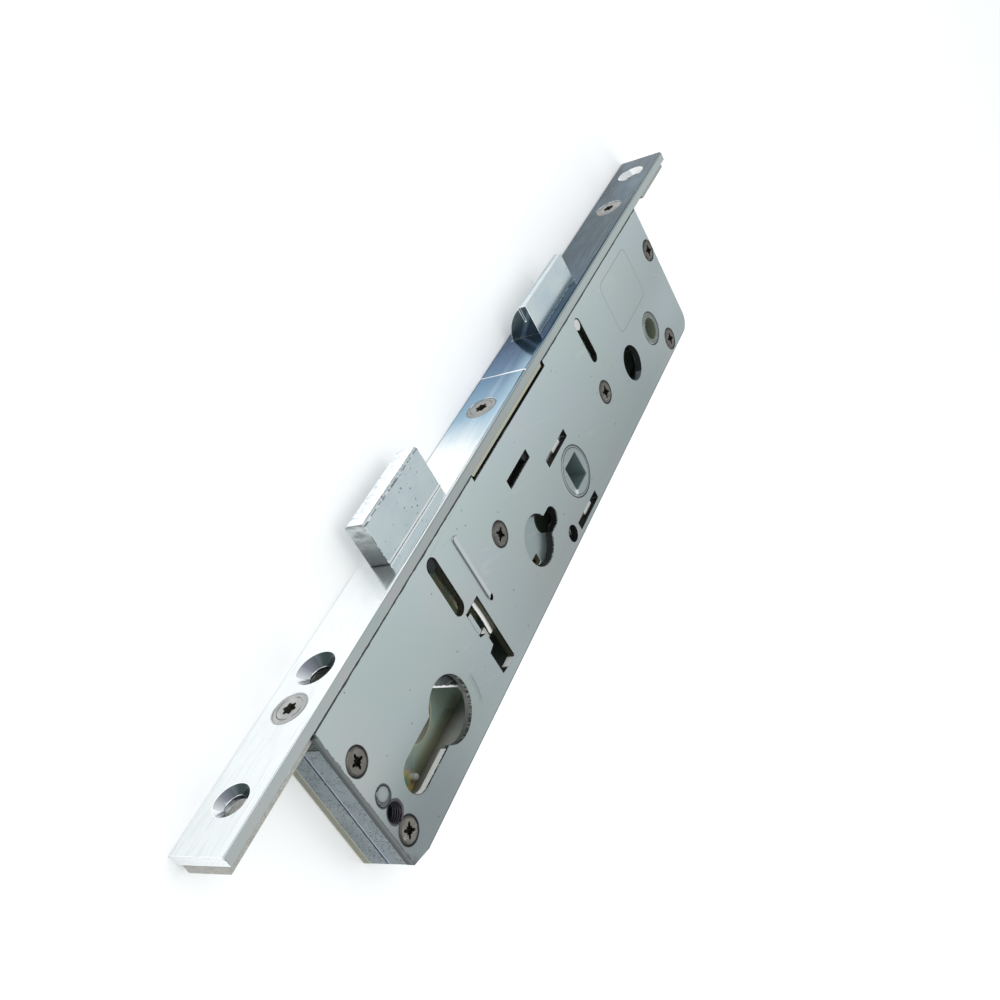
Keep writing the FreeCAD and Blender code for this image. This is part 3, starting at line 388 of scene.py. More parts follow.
EDGE_WEAR = shader_group(draw_edge_wear, "edge_wear", {"Strength": 0.8},
                         Edge="Float", Wall="Float", Tear="Float")


# %% [markdown]
# Every screw, rivet and bearing sits in a hole with a hair of room round it, and shade falls into
# that room; it is painted as a dark ring. A ring of a given size round a given centre draws it: the
# distance from the centre less the radius is near zero only on the ring.

# %% The ring of painted shade round a fitting
def draw_gap_ring(tree, given):
    where = object_place(tree)
    flat = vector_sum("MULTIPLY", vector_sum("SUBTRACT", where, given["Centre"]), (1.0, 1.0, 0.0))
    far = add(tree, "ShaderNodeVectorMath", {"operation": "LENGTH"}, take=1, i0=flat)
    thick = given["Width"] * (noise(where, 700.0, 3.0) + 0.5)
    return [fall(abs(far - given["Radius"]) / thick, 0.5, 1.0)]


GAP_RING = shader_group(draw_gap_ring, "gap_ring", {"Centre": (0, 0, 0), "Radius": 0.0035, "Width": 0.0003},
                        Mask="Float")
USUAL_GAP = 0.34


# %% Helpers for materials
def place_group(tree, group, **values):
    """Place a group in a tree, and give its outputs by name."""
    node = tree.nodes.new("ShaderNodeGroup")
    node.node_tree = group
    for key, value in values.items():
        join(value, node.inputs[key.replace("_", " ")])
    return {socket.name: Field(socket) for socket in node.outputs}


def gap_ring(tree, x, y, radius, width=USUAL_GAP):
    """A ring round an upright axis, in millimetres, mostly used for painted shade round a fitting."""
    return place_group(tree, GAP_RING, Centre=(x * MM, y * MM, 0.0), Radius=radius * MM,
                       Width=width * MM)["Mask"]


def start_material(name, metal=1.0):
    """A metal material, with its tree and the inputs of its shader."""
    material = bpy.data.materials.new(name)
    material.use_nodes = True
    inputs = material.node_tree.nodes["Principled BSDF"].inputs
    inputs["Metallic"].default_value = metal
    return material, material.node_tree, inputs


def bump_from(height, inputs, strength, distance):
    join(add(height.tree, "ShaderNodeBump", Strength=strength, Distance=distance, Height=height),
         inputs["Normal"])


def three_tones(tree, tones, scale, amount):
    """Blotches of a finish's own three tones."""
    first, second, third = [with_alpha(colour) for colour in tones]
    return place_group(tree, BLOTCHES, Scale=scale, Tone=first, Second_Tone=second, Third_Tone=third,
                       Amount=amount)


def repaint(material, share, colour, way="MIX"):
    """Lay one more colour over a material's base colour, where share is above 0."""
    base = material.node_tree.nodes["Principled BSDF"].inputs["Base Color"]
    under = Field(base.links[0].from_socket)
    join(blend(share, under, colour, way), base)


def make_dull(material, share, metal=0.0):
    """Let part of a metal scatter light instead of mirroring it, where share is above 0."""
    metallic = material.node_tree.nodes["Principled BSDF"].inputs["Metallic"]
    under = metallic.default_value
    join(add(material.node_tree, "ShaderNodeMix", {"data_type": "FLOAT"}, i0=share, i2=under, i3=metal),
         metallic)


# %% [markdown]
# Most pieces are zinc plated steel. One recipe gives them all: three tones in soft blotches,
# specks, scratches, bright rubbed edges and torn cut walls, each with its own amount. A recipe as
# a function keeps every piece of the same family alike, while its arguments tell them apart.

# %% The plated steel recipe
FINE_BUMP = 0.0002


def plated_steel(name, tones, rough, blotch=60.0, amount=0.5, specks=0.1, scratches=0.35,
                 edge_tone=(0.6, 0.62, 0.61), wall_tone=(0.4, 0.4, 0.38), wall_low=0.3, bump=0.12,
                 metal=0.85):
    material, tree, inputs = start_material(name, metal)
    cloud = three_tones(tree, tones, blotch, amount)
    spots = place_group(tree, SPECKS, Scale=560.0, Size=0.16, Share=specks)["Mask"]
    lines = place_group(tree, SCRATCHES, Scale=190.0, Width=0.012, Share=0.52)["Mask"]
    wear = place_group(tree, EDGE_WEAR, Strength=0.85)
    colour = blend(spots * 0.7, cloud["Color"], (0.12, 0.11, 0.10))
    colour = blend(lines * scratches, colour, (0.62, 0.64, 0.63))
    dark_wall = [part * wall_low for part in wall_tone]
    colour = blend(wear["Wall"], colour, blend(rise(wear["Tear"], 0.38, 0.62), dark_wall, wall_tone))
    join(blend(wear["Edge"], colour, edge_tone), inputs["Base Color"])
    dull = cloud["Mask"].scaled(0.16, rough - 0.08) + wear["Wall"] * 0.12
    join(dull.clamped(), inputs["Roughness"])
    height = lines.scaled(-0.08, cloud["Mask"]) + wear["Wall"] * (wear["Tear"] * 3.0)
    bump_from(height, inputs, bump, FINE_BUMP)
    return material


# %% [markdown]
# The case is grey-green satin zinc with faint blue and pink clouds. Painted light makes it a little
# lighter towards the strip, and painted shade makes it darker and greener towards the back. Its marks
# are drawn from distances: a thin rounded border near the upper end, a scuff above the cylinder, a
# pressed rib with painted shade and a painted highlight, a painted shadow in the seam along the strip
# and a dark line at the lower end. A distance gives a line that is sharp at any size, and needs no picture.

# %% Lines drawn from a distance
def border_mask(place, centre, half, radius, width):
    """1 on the outline of a rounded rectangle in X and Y, seen on the near face."""
    gaps = [greater_of(abs(place[axis] - centre[axis]) - (half[axis] - radius), 0.0) for axis in (X, Y)]
    return fall(abs(length(*gaps) - radius), width * 0.4, width)


def arc_mask(place, centre, radius, width, low_x, high_x):
    """Streaks along the part of a circle between two X places, above its centre."""
    along = place[Y] - centre[Y]
    off = length(place[X] - centre[X], along) - radius
    near = between(off, -width, width, width * 0.6)
    streaks = add(off.tree, "ShaderNodeTexNoise", {"noise_dimensions": "1D"}, take="Fac", W=off,
                  Scale=2600.0, Detail=2.0)
    part = between(place[X], low_x, high_x, 1.2 * MM)
    return rise(streaks, 0.42, 0.6) * near * (part * (along > 0.0))


# %% The case's plating
LABEL_CENTRE = (-18.6 * MM, 161.4 * MM)
LABEL_HALF = (8.9 * MM, 12.1 * MM)
LABEL_CORNER = 2.2 * MM
SCUFF_CENTRE = (0.5 * MM, -6.0 * MM)
SCUFF_RADIUS = 17.4 * MM
# Painted light and shade: the factors for a lighter front and a darker back of the case.
PAINTED_LIGHT_FRONT = 1.37
PAINTED_SHADE_BACK = 0.85

case_low, case_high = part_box("near_case")
# The dark wall tone paints shade into the case's cut walls.
case_finish = plated_steel(
    "near_case_finish", [(0.395, 0.450, 0.440), (0.395, 0.440, 0.462), (0.435, 0.438, 0.432)],
    rough=0.34, blotch=34.0, amount=0.6, specks=0.05, scratches=0.12, edge_tone=(0.36, 0.38, 0.37),
    wall_tone=(0.085, 0.090, 0.085), bump=0.05)
tree = case_finish.node_tree
x, y, z = axes(tree)
edge, wall, front, upper = marked(tree, "edge", "wall", "front", "upper")
# Painted light and shade across the plate: lighter by the strip, darker towards the back and the lower
# rear, lighter again at the upper rear.
painted_light_across = spread(x, case_low.x, case_high.x - 4 * MM, PAINTED_LIGHT_FRONT, PAINTED_SHADE_BACK)
rear = rise(x, -14 * MM, 5 * MM)
painted_shade_low_rear = fall(y, -28 * MM, 34 * MM) * rear.scaled(0.30, 0.17)
painted_light_high_rear = rear.scaled(0.26, -0.06) * rise(y, 140 * MM, 185 * MM)
painted_light_factor = painted_light_across * ((1.0 - painted_shade_low_rear) + painted_light_high_rear)
repaint(case_finish, 1.0, add(tree, "ShaderNodeCombineXYZ", i0=painted_light_factor, i1=painted_light_factor, i2=painted_light_factor), "MULTIPLY")
print("case front and back in mm:", round(case_low.x / MM, 1), round(case_high.x / MM, 1))

# %% The case's cut walls, with painted light and shade
BRIGHT_BELOW = 14 * MM
TAIL_BELOW = -8 * MM
END_BELOW = case_low.y + 3 * MM
RIM_ABOVE = case_high.z - 0.85 * MM

tear = place_group(tree, EDGE_WEAR, Strength=1.0)["Tear"]
lower_half = y < BRIGHT_BELOW
at_tail = y < TAIL_BELOW
at_end = y < END_BELOW
in_rim = z > RIM_ABOVE
# Painted light: the cut walls round the cylinder opening and at the lower end are lit white in ragged
# patches.
bright = blend(rise(tear + at_tail * 0.13, 0.44, 0.72), (0.10, 0.115, 0.115), (0.95, 0.95, 0.90))
repaint(case_finish, wall * lower_half, bright)
rim_tone = blend(rise(tear, 0.46, 0.66), (0.045, 0.05, 0.05), (0.55, 0.56, 0.54))
repaint(case_finish, wall * at_tail * in_rim, rim_tone)
repaint(case_finish, wall * at_end, ramp(z / case_high.z, [
    (0.80, 0.02, 0.022, 0.022), (1.0, 0.03, 0.032, 0.032), (0.84, 0.20, 0.225, 0.225),
    (0.90, 0.30, 0.33, 0.33), (0.955, 0.42, 0.45, 0.45), (0.975, 0.10, 0.11, 0.11)]))

# The lower band of each cut wall is partly the real darker fracture zone and partly painted shade, which
# makes the sheet look thinner; it is lighter round the cylinder opening.
round_part = (lower_half - at_tail).clamped()
break_height = round_part.scaled(-0.40 * MM, case_high.z - 0.95 * MM)
fracture_and_shade_band = (z < break_height) * (1.0 - at_end)
window_walls = between(y, 19.0 * MM, 31.5 * MM, 0.5 * MM)
fracture_and_shade_tone = blend(window_walls, (0.05, 0.055, 0.05), (0.13, 0.13, 0.09))
fracture_and_shade_tone = blend(lower_half, fracture_and_shade_tone, (0.34, 0.34, 0.32))
fracture_and_shade_tone = blend(at_tail, fracture_and_shade_tone, (0.20, 0.19, 0.17))
repaint(case_finish, wall * (fracture_and_shade_band * 0.9), fracture_and_shade_tone)

spindle_rim = between(y, 50.0 * MM, 75.0 * MM, 0.5 * MM) * in_rim
spindle_tone = blend(rise(tear, 0.42, 0.60), (0.16, 0.17, 0.165), (0.80, 0.83, 0.82))
repaint(case_finish, spindle_rim * wall, spindle_tone)
# Painted highlights: white on the tail's right wall and on the window's end wall, and a painted gradient on
# the rear wall's inner face, from shade below to white above.
tail_right_painted_light = at_tail * front * between(x, 3.0 * MM, 9.5 * MM, 0.2 * MM) * wall * (z < RIM_ABOVE)
repaint(case_finish, tail_right_painted_light, (1.0, 1.0, 0.97))
window_end_painted_light = (x > 8.5 * MM) * between(y, 24.6 * MM, 28.4 * MM, 0.3 * MM) * wall
repaint(case_finish, window_end_painted_light, (1.0, 1.0, 0.98))
rear_inner_painted_light = front * (x > case_high.x - 3 * MM) * fall(y, 8 * MM, 18 * MM)
repaint(case_finish, rear_inner_painted_light, ramp(spread(z, -6 * MM, 5 * MM), [
    (0.0, 0.16, 0.15, 0.12), (1.0, 0.97, 0.97, 0.95), (0.18, 0.42, 0.40, 0.36),
    (0.45, 0.80, 0.79, 0.76)]))
# Painted light on the lower side of the handle hole's wall, and painted shade on the rest.
handle_low = (x > 1.5 * MM) * (y < 150.0 * MM)
handle_wall_light_and_shade = blend(handle_low, (0.07, 0.08, 0.08), (0.42, 0.50, 0.52))
repaint(case_finish, gap_ring(tree, 0.0, 147.2, 5.75, 0.5) * wall, handle_wall_light_and_shade)
make_dull(case_finish, greater_of(tail_right_painted_light, greater_of(window_end_painted_light, rear_inner_painted_light)), 0.05)
print("cut walls are bright below Y in mm:", round(BRIGHT_BELOW / MM, 1))

# %% The case's border, scuff, rib and seams
RIB = {"left": -26.4 * MM, "right": -5.7 * MM, "y": 33.3 * MM}
GAPS = [
    (-17.5, -31.3, 3.52), (5.9, -31.3, 3.52), (-13.5, 48.9, 3.52), (-4.4, 125.2, 3.52),
    (-17.5, 188.1, 3.52), (9.9, 175.7, 3.52), (-5.9, -31.3, 2.60), (0.0, 167.1, 5.40),
    (0.0, 92.0, 7.62), (-0.5, -31.3, 2.85)]
REAR_LINE = 0.28 * MM

border = border_mask((x, y), LABEL_CENTRE, LABEL_HALF, LABEL_CORNER, 0.20 * MM)
repaint(case_finish, border * 0.6, (0.20, 0.22, 0.22))
scuff = arc_mask((x, y), SCUFF_CENTRE, SCUFF_RADIUS, 0.8 * MM, 0.5 * MM, 8.0 * MM)
repaint(case_finish, scuff * 0.55, (0.14, 0.16, 0.16))
aside = y - RIB["y"]
long_part = between(x, RIB["left"], RIB["right"], 0.4 * MM)
# Painted shade along the rib's lower side and a painted highlight along its middle.
rib_painted_shade = between(aside, -1.6 * MM, -1.1 * MM, 0.25 * MM) * long_part
rib_painted_highlight = between(aside, -0.8 * MM, 0.0, 0.4 * MM) * long_part
repaint(case_finish, rib_painted_shade * 0.55, (0.16, 0.18, 0.18))
repaint(case_finish, rib_painted_highlight * 0.5, (0.72, 0.70, 0.73))
ragged = noise(mapped(tree, (1.0, 0.3, 1.0)), 900.0, 3.0)
# Painted shadow in the gap between the case and the strip.
seam = x < ragged.scaled(0.6 * MM, case_low.x + 0.22 * MM)
repaint(case_finish, seam * 0.92, (0.02, 0.022, 0.02))
foot_line = y < ragged.scaled(1.0 * MM, case_low.y - 0.15 * MM)
repaint(case_finish, foot_line * 0.75, (0.10, 0.11, 0.11))
# Painted shade in the gap round each screw, the rivet, the bush and the follower, and at the tapped hole's
# rim.
for place_x, place_y, radius in GAPS:
    repaint(case_finish, gap_ring(tree, place_x, place_y, radius) * 0.85, (0.03, 0.03, 0.03))
nick = gap_ring(tree, -31.9, 168.3, 0.0, 0.55)
dash = (between(x, -12.3 * MM, -10.5 * MM, 0.2 * MM)
        * between(y, -37.0 * MM, -36.6 * MM, 0.1 * MM))
repaint(case_finish, greater_of(nick, dash) * 0.75, (0.05, 0.055, 0.055))
rear_line = greater_of(edge, upper) * (x > case_high.x - REAR_LINE)
repaint(case_finish, rear_line * 0.9, (0.05, 0.055, 0.05))
corner = rise(x, 3 * MM, 9 * MM) * fall(y, case_low.y, case_low.y + 3.2 * MM)
smudge = corner * rise(noise(mapped(tree), 420.0, 5.0), 0.40, 0.60)
repaint(case_finish, smudge * 0.6, (0.07, 0.075, 0.075))
print("finish:", case_finish.name)

# %% [markdown]
# The strip is brighter than the case and brushed along its length, so it mirrors what is near it
# in long streaks. These reflections are painted into its colour: near white at the lower end, blue and
# blue-grey patches round the middle screw and below the latch, and dark blue all along the upper end.
# A colour ramp along Y gives how blue each stretch is, and brushed noise breaks it up. The near edge is
# plain grey.

# %% The strip's finish
strip_low, strip_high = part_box("faceplate")
STRIP_LONG = strip_high.y - strip_low.y
STRIP_REFLECTION_TONES = [(-20, 0.93, 0.96, 0.96), (60, 0.99, 1.0, 1.0), (74, 0.34, 0.52, 0.64),
               (92, 0.14, 0.26, 0.40), (110, 0.038, 0.086, 0.185), (125, 0.040, 0.092, 0.160),
               (148, 0.028, 0.062, 0.088)]

strip_finish, tree, inputs = start_material("faceplate_finish")
x, y, z = axes(tree)
front, upper, wall = marked(tree, "front", "upper", "wall")
streak = place_group(tree, BRUSHING, Fine=2600.0, Stretch=0.035)
# Painted reflection: near white at the lower end, blue-grey in the middle and dark blue at the upper end.
stops = [((place * MM - strip_low.y) / STRIP_LONG, *colour) for place, *colour in STRIP_REFLECTION_TONES]
share = (y - strip_low.y) / STRIP_LONG
join(ramp(share, [(0.0, 0.80, 0.83, 0.83), (1.0, 0.030, 0.060, 0.080)] + stops), inputs["Base Color"])
cloud = noise(mapped(tree, (1.0, 0.5, 1.0)), 120.0, 6.0, Roughness=0.65)
# More painted reflection: blue patches, a pale band and bright brushed streaks.
patchy_reflection = rise(cloud, 0.42, 0.70) * rise(y, 60 * MM, 80 * MM)
repaint(strip_finish, patchy_reflection * 0.24, (0.16, 0.27, 0.37))
pale_reflection = rise(z, 1.5 * MM, 7.5 * MM) * between(y, 60 * MM, 104 * MM, 8 * MM)
repaint(strip_finish, pale_reflection * 0.6, (0.44, 0.60, 0.70))
repaint(strip_finish, rise(streak["Height"], 0.50, 0.72) * 0.24, (0.30, 0.38, 0.45))
dimmer = rise(y, 55 * MM, 110 * MM).scaled(-0.31, 0.35)
repaint(strip_finish, rise(streak["Streaks"], 0.56, 0.70) * dimmer, (0.92, 0.95, 0.97))
# Painted highlight on the scribed line across the strip.
scribed_highlight = between(y, 93.9 * MM, 94.5 * MM, 0.08 * MM)
repaint(strip_finish, scribed_highlight, (1.0, 1.0, 1.0))
print("strip length in mm:", round(STRIP_LONG / MM, 1))

# %% The strip's edges and the gaps round its bolts
BOLT_ROOM = 0.25 * MM

# Painted shadow on the strip in the gap round the deadbolt and the latch.
for node in ("deadbolt", "latch_head"):
    low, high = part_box(node)
    along_gap = between(y, low.y - BOLT_ROOM, high.y + BOLT_ROOM, 0.05 * MM)
    up_gap = between(z, low.z - BOLT_ROOM, high.z + BOLT_ROOM, 0.05 * MM)
    repaint(strip_finish, along_gap * up_gap * front, (0.02, 0.022, 0.022))
flank = blend(rise(cloud, 0.35, 0.65), (0.400, 0.450, 0.435), (0.44, 0.44, 0.435))
flank = blend(rise(y, 60 * MM, 150 * MM), flank, (0.50, 0.555, 0.54))
repaint(strip_finish, upper, flank)
# Painted highlight on the front rounded edges and painted shade on the back ones; on the near edge face, a
# painted highlight line and a painted shade line by the front.
near_back = (z > 0.0) * (x > strip_low.x + 0.6 * MM)
rim = blend(near_back, (0.95, 0.96, 0.96), (0.12, 0.13, 0.13))
repaint(strip_finish, place_group(tree, EDGE_WEAR, Strength=0.9)["Edge"], rim)
from_front = x - strip_low.x
rolled = upper * between(from_front, 0.35 * MM, 0.62 * MM, 0.08 * MM)
repaint(strip_finish, rolled * 0.55, (0.12, 0.15, 0.16))
rolled_edge_highlight = upper * between(from_front, 0.0, 0.30 * MM, 0.06 * MM)
repaint(strip_finish, rolled_edge_highlight * 0.7, (0.78, 0.82, 0.81))
print("strip front in mm:", round(strip_low.x / MM, 1))

# %% The turned countersinks and the lines round the strip's screws
SINKS = (-56.1 * MM, -19.3 * MM, 214.4 * MM)
SINK_ROUND = 5.6 * MM
PALE_SINK_ABOVE = 0.2
STRIP_SCREWS = (-31.3, 78.3, 190.0)

# Painted reflection on each turned countersink: light and dark sectors round its axis, paler on the upper
# one.
for centre_y in SINKS:
    along = y - centre_y
    turned = calc("ARCTAN2", z, along).scaled(1 / math.tau, 0.5)
    reflection_bands = ramp(turned, [
        (0.0, 0.55, 0.55, 0.60), (1.0, 0.55, 0.55, 0.60), (0.16, 0.90, 0.92, 0.92),
        (0.30, 0.30, 0.31, 0.36), (0.46, 0.05, 0.07, 0.07), (0.58, 0.03, 0.045, 0.04),
        (0.70, 0.22, 0.24, 0.30), (0.82, 0.75, 0.74, 0.82), (0.90, 0.30, 0.32, 0.34)])
    if centre_y > PALE_SINK_ABOVE:
        reflection_bands = blend(0.8, reflection_bands, (1.0, 1.0, 1.0))
    repaint(strip_finish, (length(z, along) < SINK_ROUND) * wall, reflection_bands)
# Painted shade in the gap round each strip screw.
for screw_y in STRIP_SCREWS:
    far = length(y - screw_y * MM, z)
    screw_gap_shade = between(far, 4.4 * MM, 4.72 * MM, 0.05 * MM) * front
    repaint(strip_finish, screw_gap_shade * 0.8, (0.05, 0.055, 0.055))
dull = streak["Streaks"].scaled(0.14, 0.10) + upper * 0.22
join(dull.clamped(), inputs["Roughness"])
bump_from(streak["Height"], inputs, 0.08, 0.00005)
print("finish:", strip_finish.name)

# %% [markdown]
# The far plate and the bars are passivated yellow: olive, with gold, pink and green where the
# film is thinner. A colour ramp driven by slow noise walks through those colours.

# %% The yellow passivated finish
def yellow_passivated(name, rough, strength, metal=0.4):
    material, tree, inputs = start_material(name, metal)
    slow = noise(mapped(tree), 85.0, 3.0)
    film = ramp(slow, [
        (0.30, 0.46, 0.58, 0.50), (0.74, 0.62, 0.70, 0.64), (0.42, 0.56, 0.62, 0.46),
        (0.52, 0.64, 0.62, 0.38), (0.60, 0.64, 0.54, 0.46), (0.66, 0.50, 0.64, 0.56)])
    spots = place_group(tree, SPECKS, Scale=500.0, Size=0.2, Share=0.12)["Mask"]
    wear = place_group(tree, EDGE_WEAR, Strength=0.8)
    colour = blend(spots * 0.6, blend(strength, (0.46, 0.45, 0.34), film), (0.14, 0.12, 0.08))
    join(blend(wear["Edge"], colour, (0.72, 0.69, 0.52)), inputs["Base Color"])
    join(slow.scaled(0.2, rough - 0.1), inputs["Roughness"])
    bump_from(wear["Wall"] * wear["Tear"], inputs, 0.3, FINE_BUMP)
    return material


yellow_finish = yellow_passivated("yellow_plate_finish", 0.34, 0.85)
keeper_finish = plated_steel(
    "keeper_finish", [(0.50, 0.50, 0.38), (0.56, 0.55, 0.43), (0.46, 0.48, 0.40)], rough=0.32,
    specks=0.12, scratches=0.3, edge_tone=(0.62, 0.62, 0.52), wall_tone=(0.40, 0.39, 0.30))
bar_finish = plated_steel(
    "bar_finish", [(0.50, 0.49, 0.44), (0.44, 0.44, 0.42), (0.52, 0.49, 0.45)], rough=0.3,
    specks=0.08, scratches=0.3, edge_tone=(0.45, 0.45, 0.42), wall_tone=(0.44, 0.43, 0.39),
    wall_low=0.75, metal=0.6)
print("finishes:", yellow_finish.name, keeper_finish.name, bar_finish.name)

# %% Gold, pink and green on the far plate below the cylinder
FILM_CENTRE = (10.5 * MM, -18.5 * MM)
FILM_ROUND = 9.5 * MM

far_finish = yellow_passivated("far_plate_finish", 0.30, 0.85, 0.12)
tree = far_finish.node_tree
x, y, z = axes(tree)
upper, wall = marked(tree, "upper", "wall")
repaint(far_finish, upper * 0.55, (0.40, 0.60, 0.56))
repaint(far_finish, wall * 0.9, (0.20, 0.205, 0.15))
# Painted shade on the far plate beside the side wall.
shade_by_wall = rise(x, 8.5 * MM, 12.0 * MM) * fall(y, 14 * MM, 20 * MM)
repaint(far_finish, shade_by_wall * upper * 0.75, (0.20, 0.18, 0.08))
far = length(x - FILM_CENTRE[X], y - FILM_CENTRE[Y])
bent = noise(mapped(tree, (1.0, 0.35, 1.0), (0.0, 0.0, 0.5)), 430.0, 1.5)
# The gold, pink and green are the film's own; the white stop is a painted highlight, and the bright stops
# are painted light falling through the opening above.
repaint(far_finish, fall(far, FILM_ROUND * 0.5, FILM_ROUND) * upper, ramp(bent, [
    (0.36, 0.28, 0.62, 0.44), (0.66, 1.0, 1.0, 0.96), (0.43, 0.92, 0.66, 0.10),
    (0.49, 1.0, 0.82, 0.30), (0.54, 0.88, 0.36, 0.50), (0.60, 0.38, 0.88, 0.62)]))
print("finish:", far_finish.name)


# %% [markdown]
# Latch, bolt and blocks are cast, so their skin is pitted and mottled, and dirt stays in the
# pits. Shallow pits come from the bump, and the same mask darkens them.

# %% The cast recipe
def cast_zinc(name, tones, rough, pits, pit_size, dirt, bump, blotch=90.0,
              edge_tone=(0.82, 0.84, 0.84), grain=760.0, scratches=0.3):
    material, tree, inputs = start_material(name)
    cloud = three_tones(tree, tones, blotch, 0.8)
    holes = place_group(tree, PITS, Scale=grain, Share=pits, Size=pit_size)
    lines = place_group(tree, SCRATCHES, Scale=210.0, Width=0.016, Share=0.5)["Mask"]
    wear = place_group(tree, EDGE_WEAR, Strength=0.9)
    colour = blend(holes["Mask"] * dirt, cloud["Color"], (0.07, 0.075, 0.08))
    colour = blend(lines * scratches, colour, (0.8, 0.82, 0.82))
    join(blend(wear["Edge"], colour, edge_tone), inputs["Base Color"])
    dull = cloud["Mask"].scaled(0.22, rough - 0.11) + holes["Mask"] * 0.25
    join(dull.clamped(), inputs["Roughness"])
    bump_from(holes["Height"], inputs, bump, 0.00012)
    return material


bolt_finish = cast_zinc(
    "bolt_finish", [(0.63, 0.70, 0.71), (0.56, 0.64, 0.68), (0.69, 0.75, 0.74)], rough=0.3,
    pits=0.5, pit_size=0.34, dirt=0.75, bump=0.35)
latch_finish = cast_zinc(
    "latch_finish", [(0.66, 0.74, 0.76), (0.58, 0.68, 0.74), (0.74, 0.80, 0.80)], rough=0.27,
    pits=0.16, pit_size=0.24, dirt=0.5, bump=0.2)
block_finish = cast_zinc(
    "block_finish", [(0.235, 0.270, 0.285), (0.20, 0.235, 0.25), (0.275, 0.305, 0.31)], rough=0.46,
    pits=1.25, pit_size=0.52, dirt=0.85, bump=0.45, blotch=140.0, edge_tone=(0.05, 0.055, 0.06),
    grain=1900.0, scratches=0.08)
tree = block_finish.node_tree
low_face = marked(tree, "low")
level = axes(tree)[Z] + noise(mapped(tree, (1.0, 1.0, 0.2)), 700.0, 3.0) * (0.35 * MM)
glint = between(level, 0.45 * MM, 0.75 * MM, 0.08 * MM)
repaint(block_finish, glint * low_face * 0.7, (0.42, 0.52, 0.68))
seam = between(level, -0.15 * MM, 0.40 * MM, 0.08 * MM)
repaint(block_finish, seam * low_face * 0.9, (0.03, 0.033, 0.035))
print("finishes:", bolt_finish.name, latch_finish.name, block_finish.name)

# %% The bolt's and the latch's darker ends, with painted shade, reflection and highlight
BOLT_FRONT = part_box("deadbolt")[0].x
LATCH_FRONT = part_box("latch_head")[0].x
STRIP_FRONT = strip_low.x

tree = bolt_finish.node_tree
x, y, z = axes(tree)
edge, front, low_face, upper = marked(tree, "edge", "front", "low", "upper")
outward = spread(x, STRIP_FRONT, BOLT_FRONT)
rust = noise(mapped(tree, (1.0, 1.0, 0.5)), 480.0, 4.0)
shade = ramp(outward, [
    (0.0, 0.032, 0.034, 0.034), (1.0, 0.60, 0.65, 0.64), (0.35, 0.16, 0.18, 0.18),
    (0.75, 0.46, 0.50, 0.495)])
shade = blend(rise(rust, 0.40, 0.60) * 0.50, shade, (0.13, 0.145, 0.145))
rusty = rise(rust, 0.56, 0.66) * rise(outward, 0.55, 0.95)
shade = blend(rusty * 0.8, shade, (0.10, 0.065, 0.035))
repaint(bolt_finish, low_face * 0.96, shade)
# Painted reflection: the deadbolt's front face is white.
repaint(bolt_finish, front * 0.85, (1.0, 1.0, 1.0))
lip = upper * (x < BOLT_FRONT + 0.9 * MM)
repaint(bolt_finish, lip * rise(rust, 0.46, 0.56) * 0.8, (0.13, 0.12, 0.11))
# Painted highlight: a white line at the deadbolt's foot by the strip.
foot_line = (x > STRIP_FRONT - 0.60 * MM) * upper
repaint(bolt_finish, foot_line * 0.9, (1.0, 1.0, 1.0))
fine = noise(mapped(tree), 900.0, 4.0)
flecks = rise(fine, 0.55, 0.62) * (front * rise(z, 1.5 * MM, -2.8 * MM))
repaint(bolt_finish, flecks * 0.6, (0.36, 0.50, 0.66))
worn = edge * rise(fine, 0.42, 0.52)
repaint(bolt_finish, worn * 0.85, (0.06, 0.065, 0.065))

tree = latch_finish.node_tree
x, y, z = axes(tree)
# Painted reflection on the latch's low face: dark, with a lighter diagonal stripe.
stripe = between(x + z * 1.2, -37.5 * MM, -35.5 * MM, 0.5 * MM)
latch_low_reflection = blend(stripe, (0.058, 0.085, 0.088), (0.22, 0.26, 0.27))
repaint(latch_finish, marked(tree, "low") * 0.95, latch_low_reflection)
print("bolt and latch fronts in mm:", round(BOLT_FRONT / MM, 1), round(LATCH_FRONT / MM, 1))

# %% The smaller pieces' finishes
# The near-black wall tone paints shade in each screw's recess, and the dark edge tone paints shade in the
# groove round its head.
screw_finish = plated_steel(
    "case_screw_finish", [(0.155, 0.142, 0.125), (0.120, 0.110, 0.098), (0.195, 0.180, 0.160)],
    rough=0.40, blotch=520.0, amount=0.9, specks=0.3, scratches=0.25,
    edge_tone=(0.07, 0.065, 0.06), wall_tone=(0.012, 0.012, 0.011), wall_low=0.6, bump=0.35)
face_screw_finish = plated_steel(
    "face_screw_finish", [(0.44, 0.44, 0.43), (0.37, 0.37, 0.36), (0.54, 0.54, 0.53)],
    rough=0.28, blotch=420.0, amount=0.8, specks=0.06, scratches=0.3,
    edge_tone=(0.04, 0.04, 0.038), wall_tone=(0.030, 0.030, 0.020), wall_low=0.5, bump=0.2)
tree = face_screw_finish.node_tree
upper_screws = rise(axes(tree)[Y], 60 * MM, 70 * MM) * (1.0 - marked(tree, "wall"))
repaint(face_screw_finish, upper_screws * 0.35, (0.20, 0.185, 0.17))
stud_finish = plated_steel(
    "stud_finish", [(0.25, 0.28, 0.275), (0.21, 0.24, 0.245), (0.33, 0.34, 0.33)],
    rough=0.32, blotch=420.0, specks=0.15, scratches=0.3, edge_tone=(0.16, 0.17, 0.17))
pivot_finish = plated_steel(
    "bush_finish", [(0.36, 0.41, 0.40), (0.32, 0.38, 0.40), (0.42, 0.43, 0.40)],
    rough=0.30, blotch=260.0, specks=0.15, scratches=0.3, wall_tone=(0.36, 0.40, 0.34), metal=0.6)
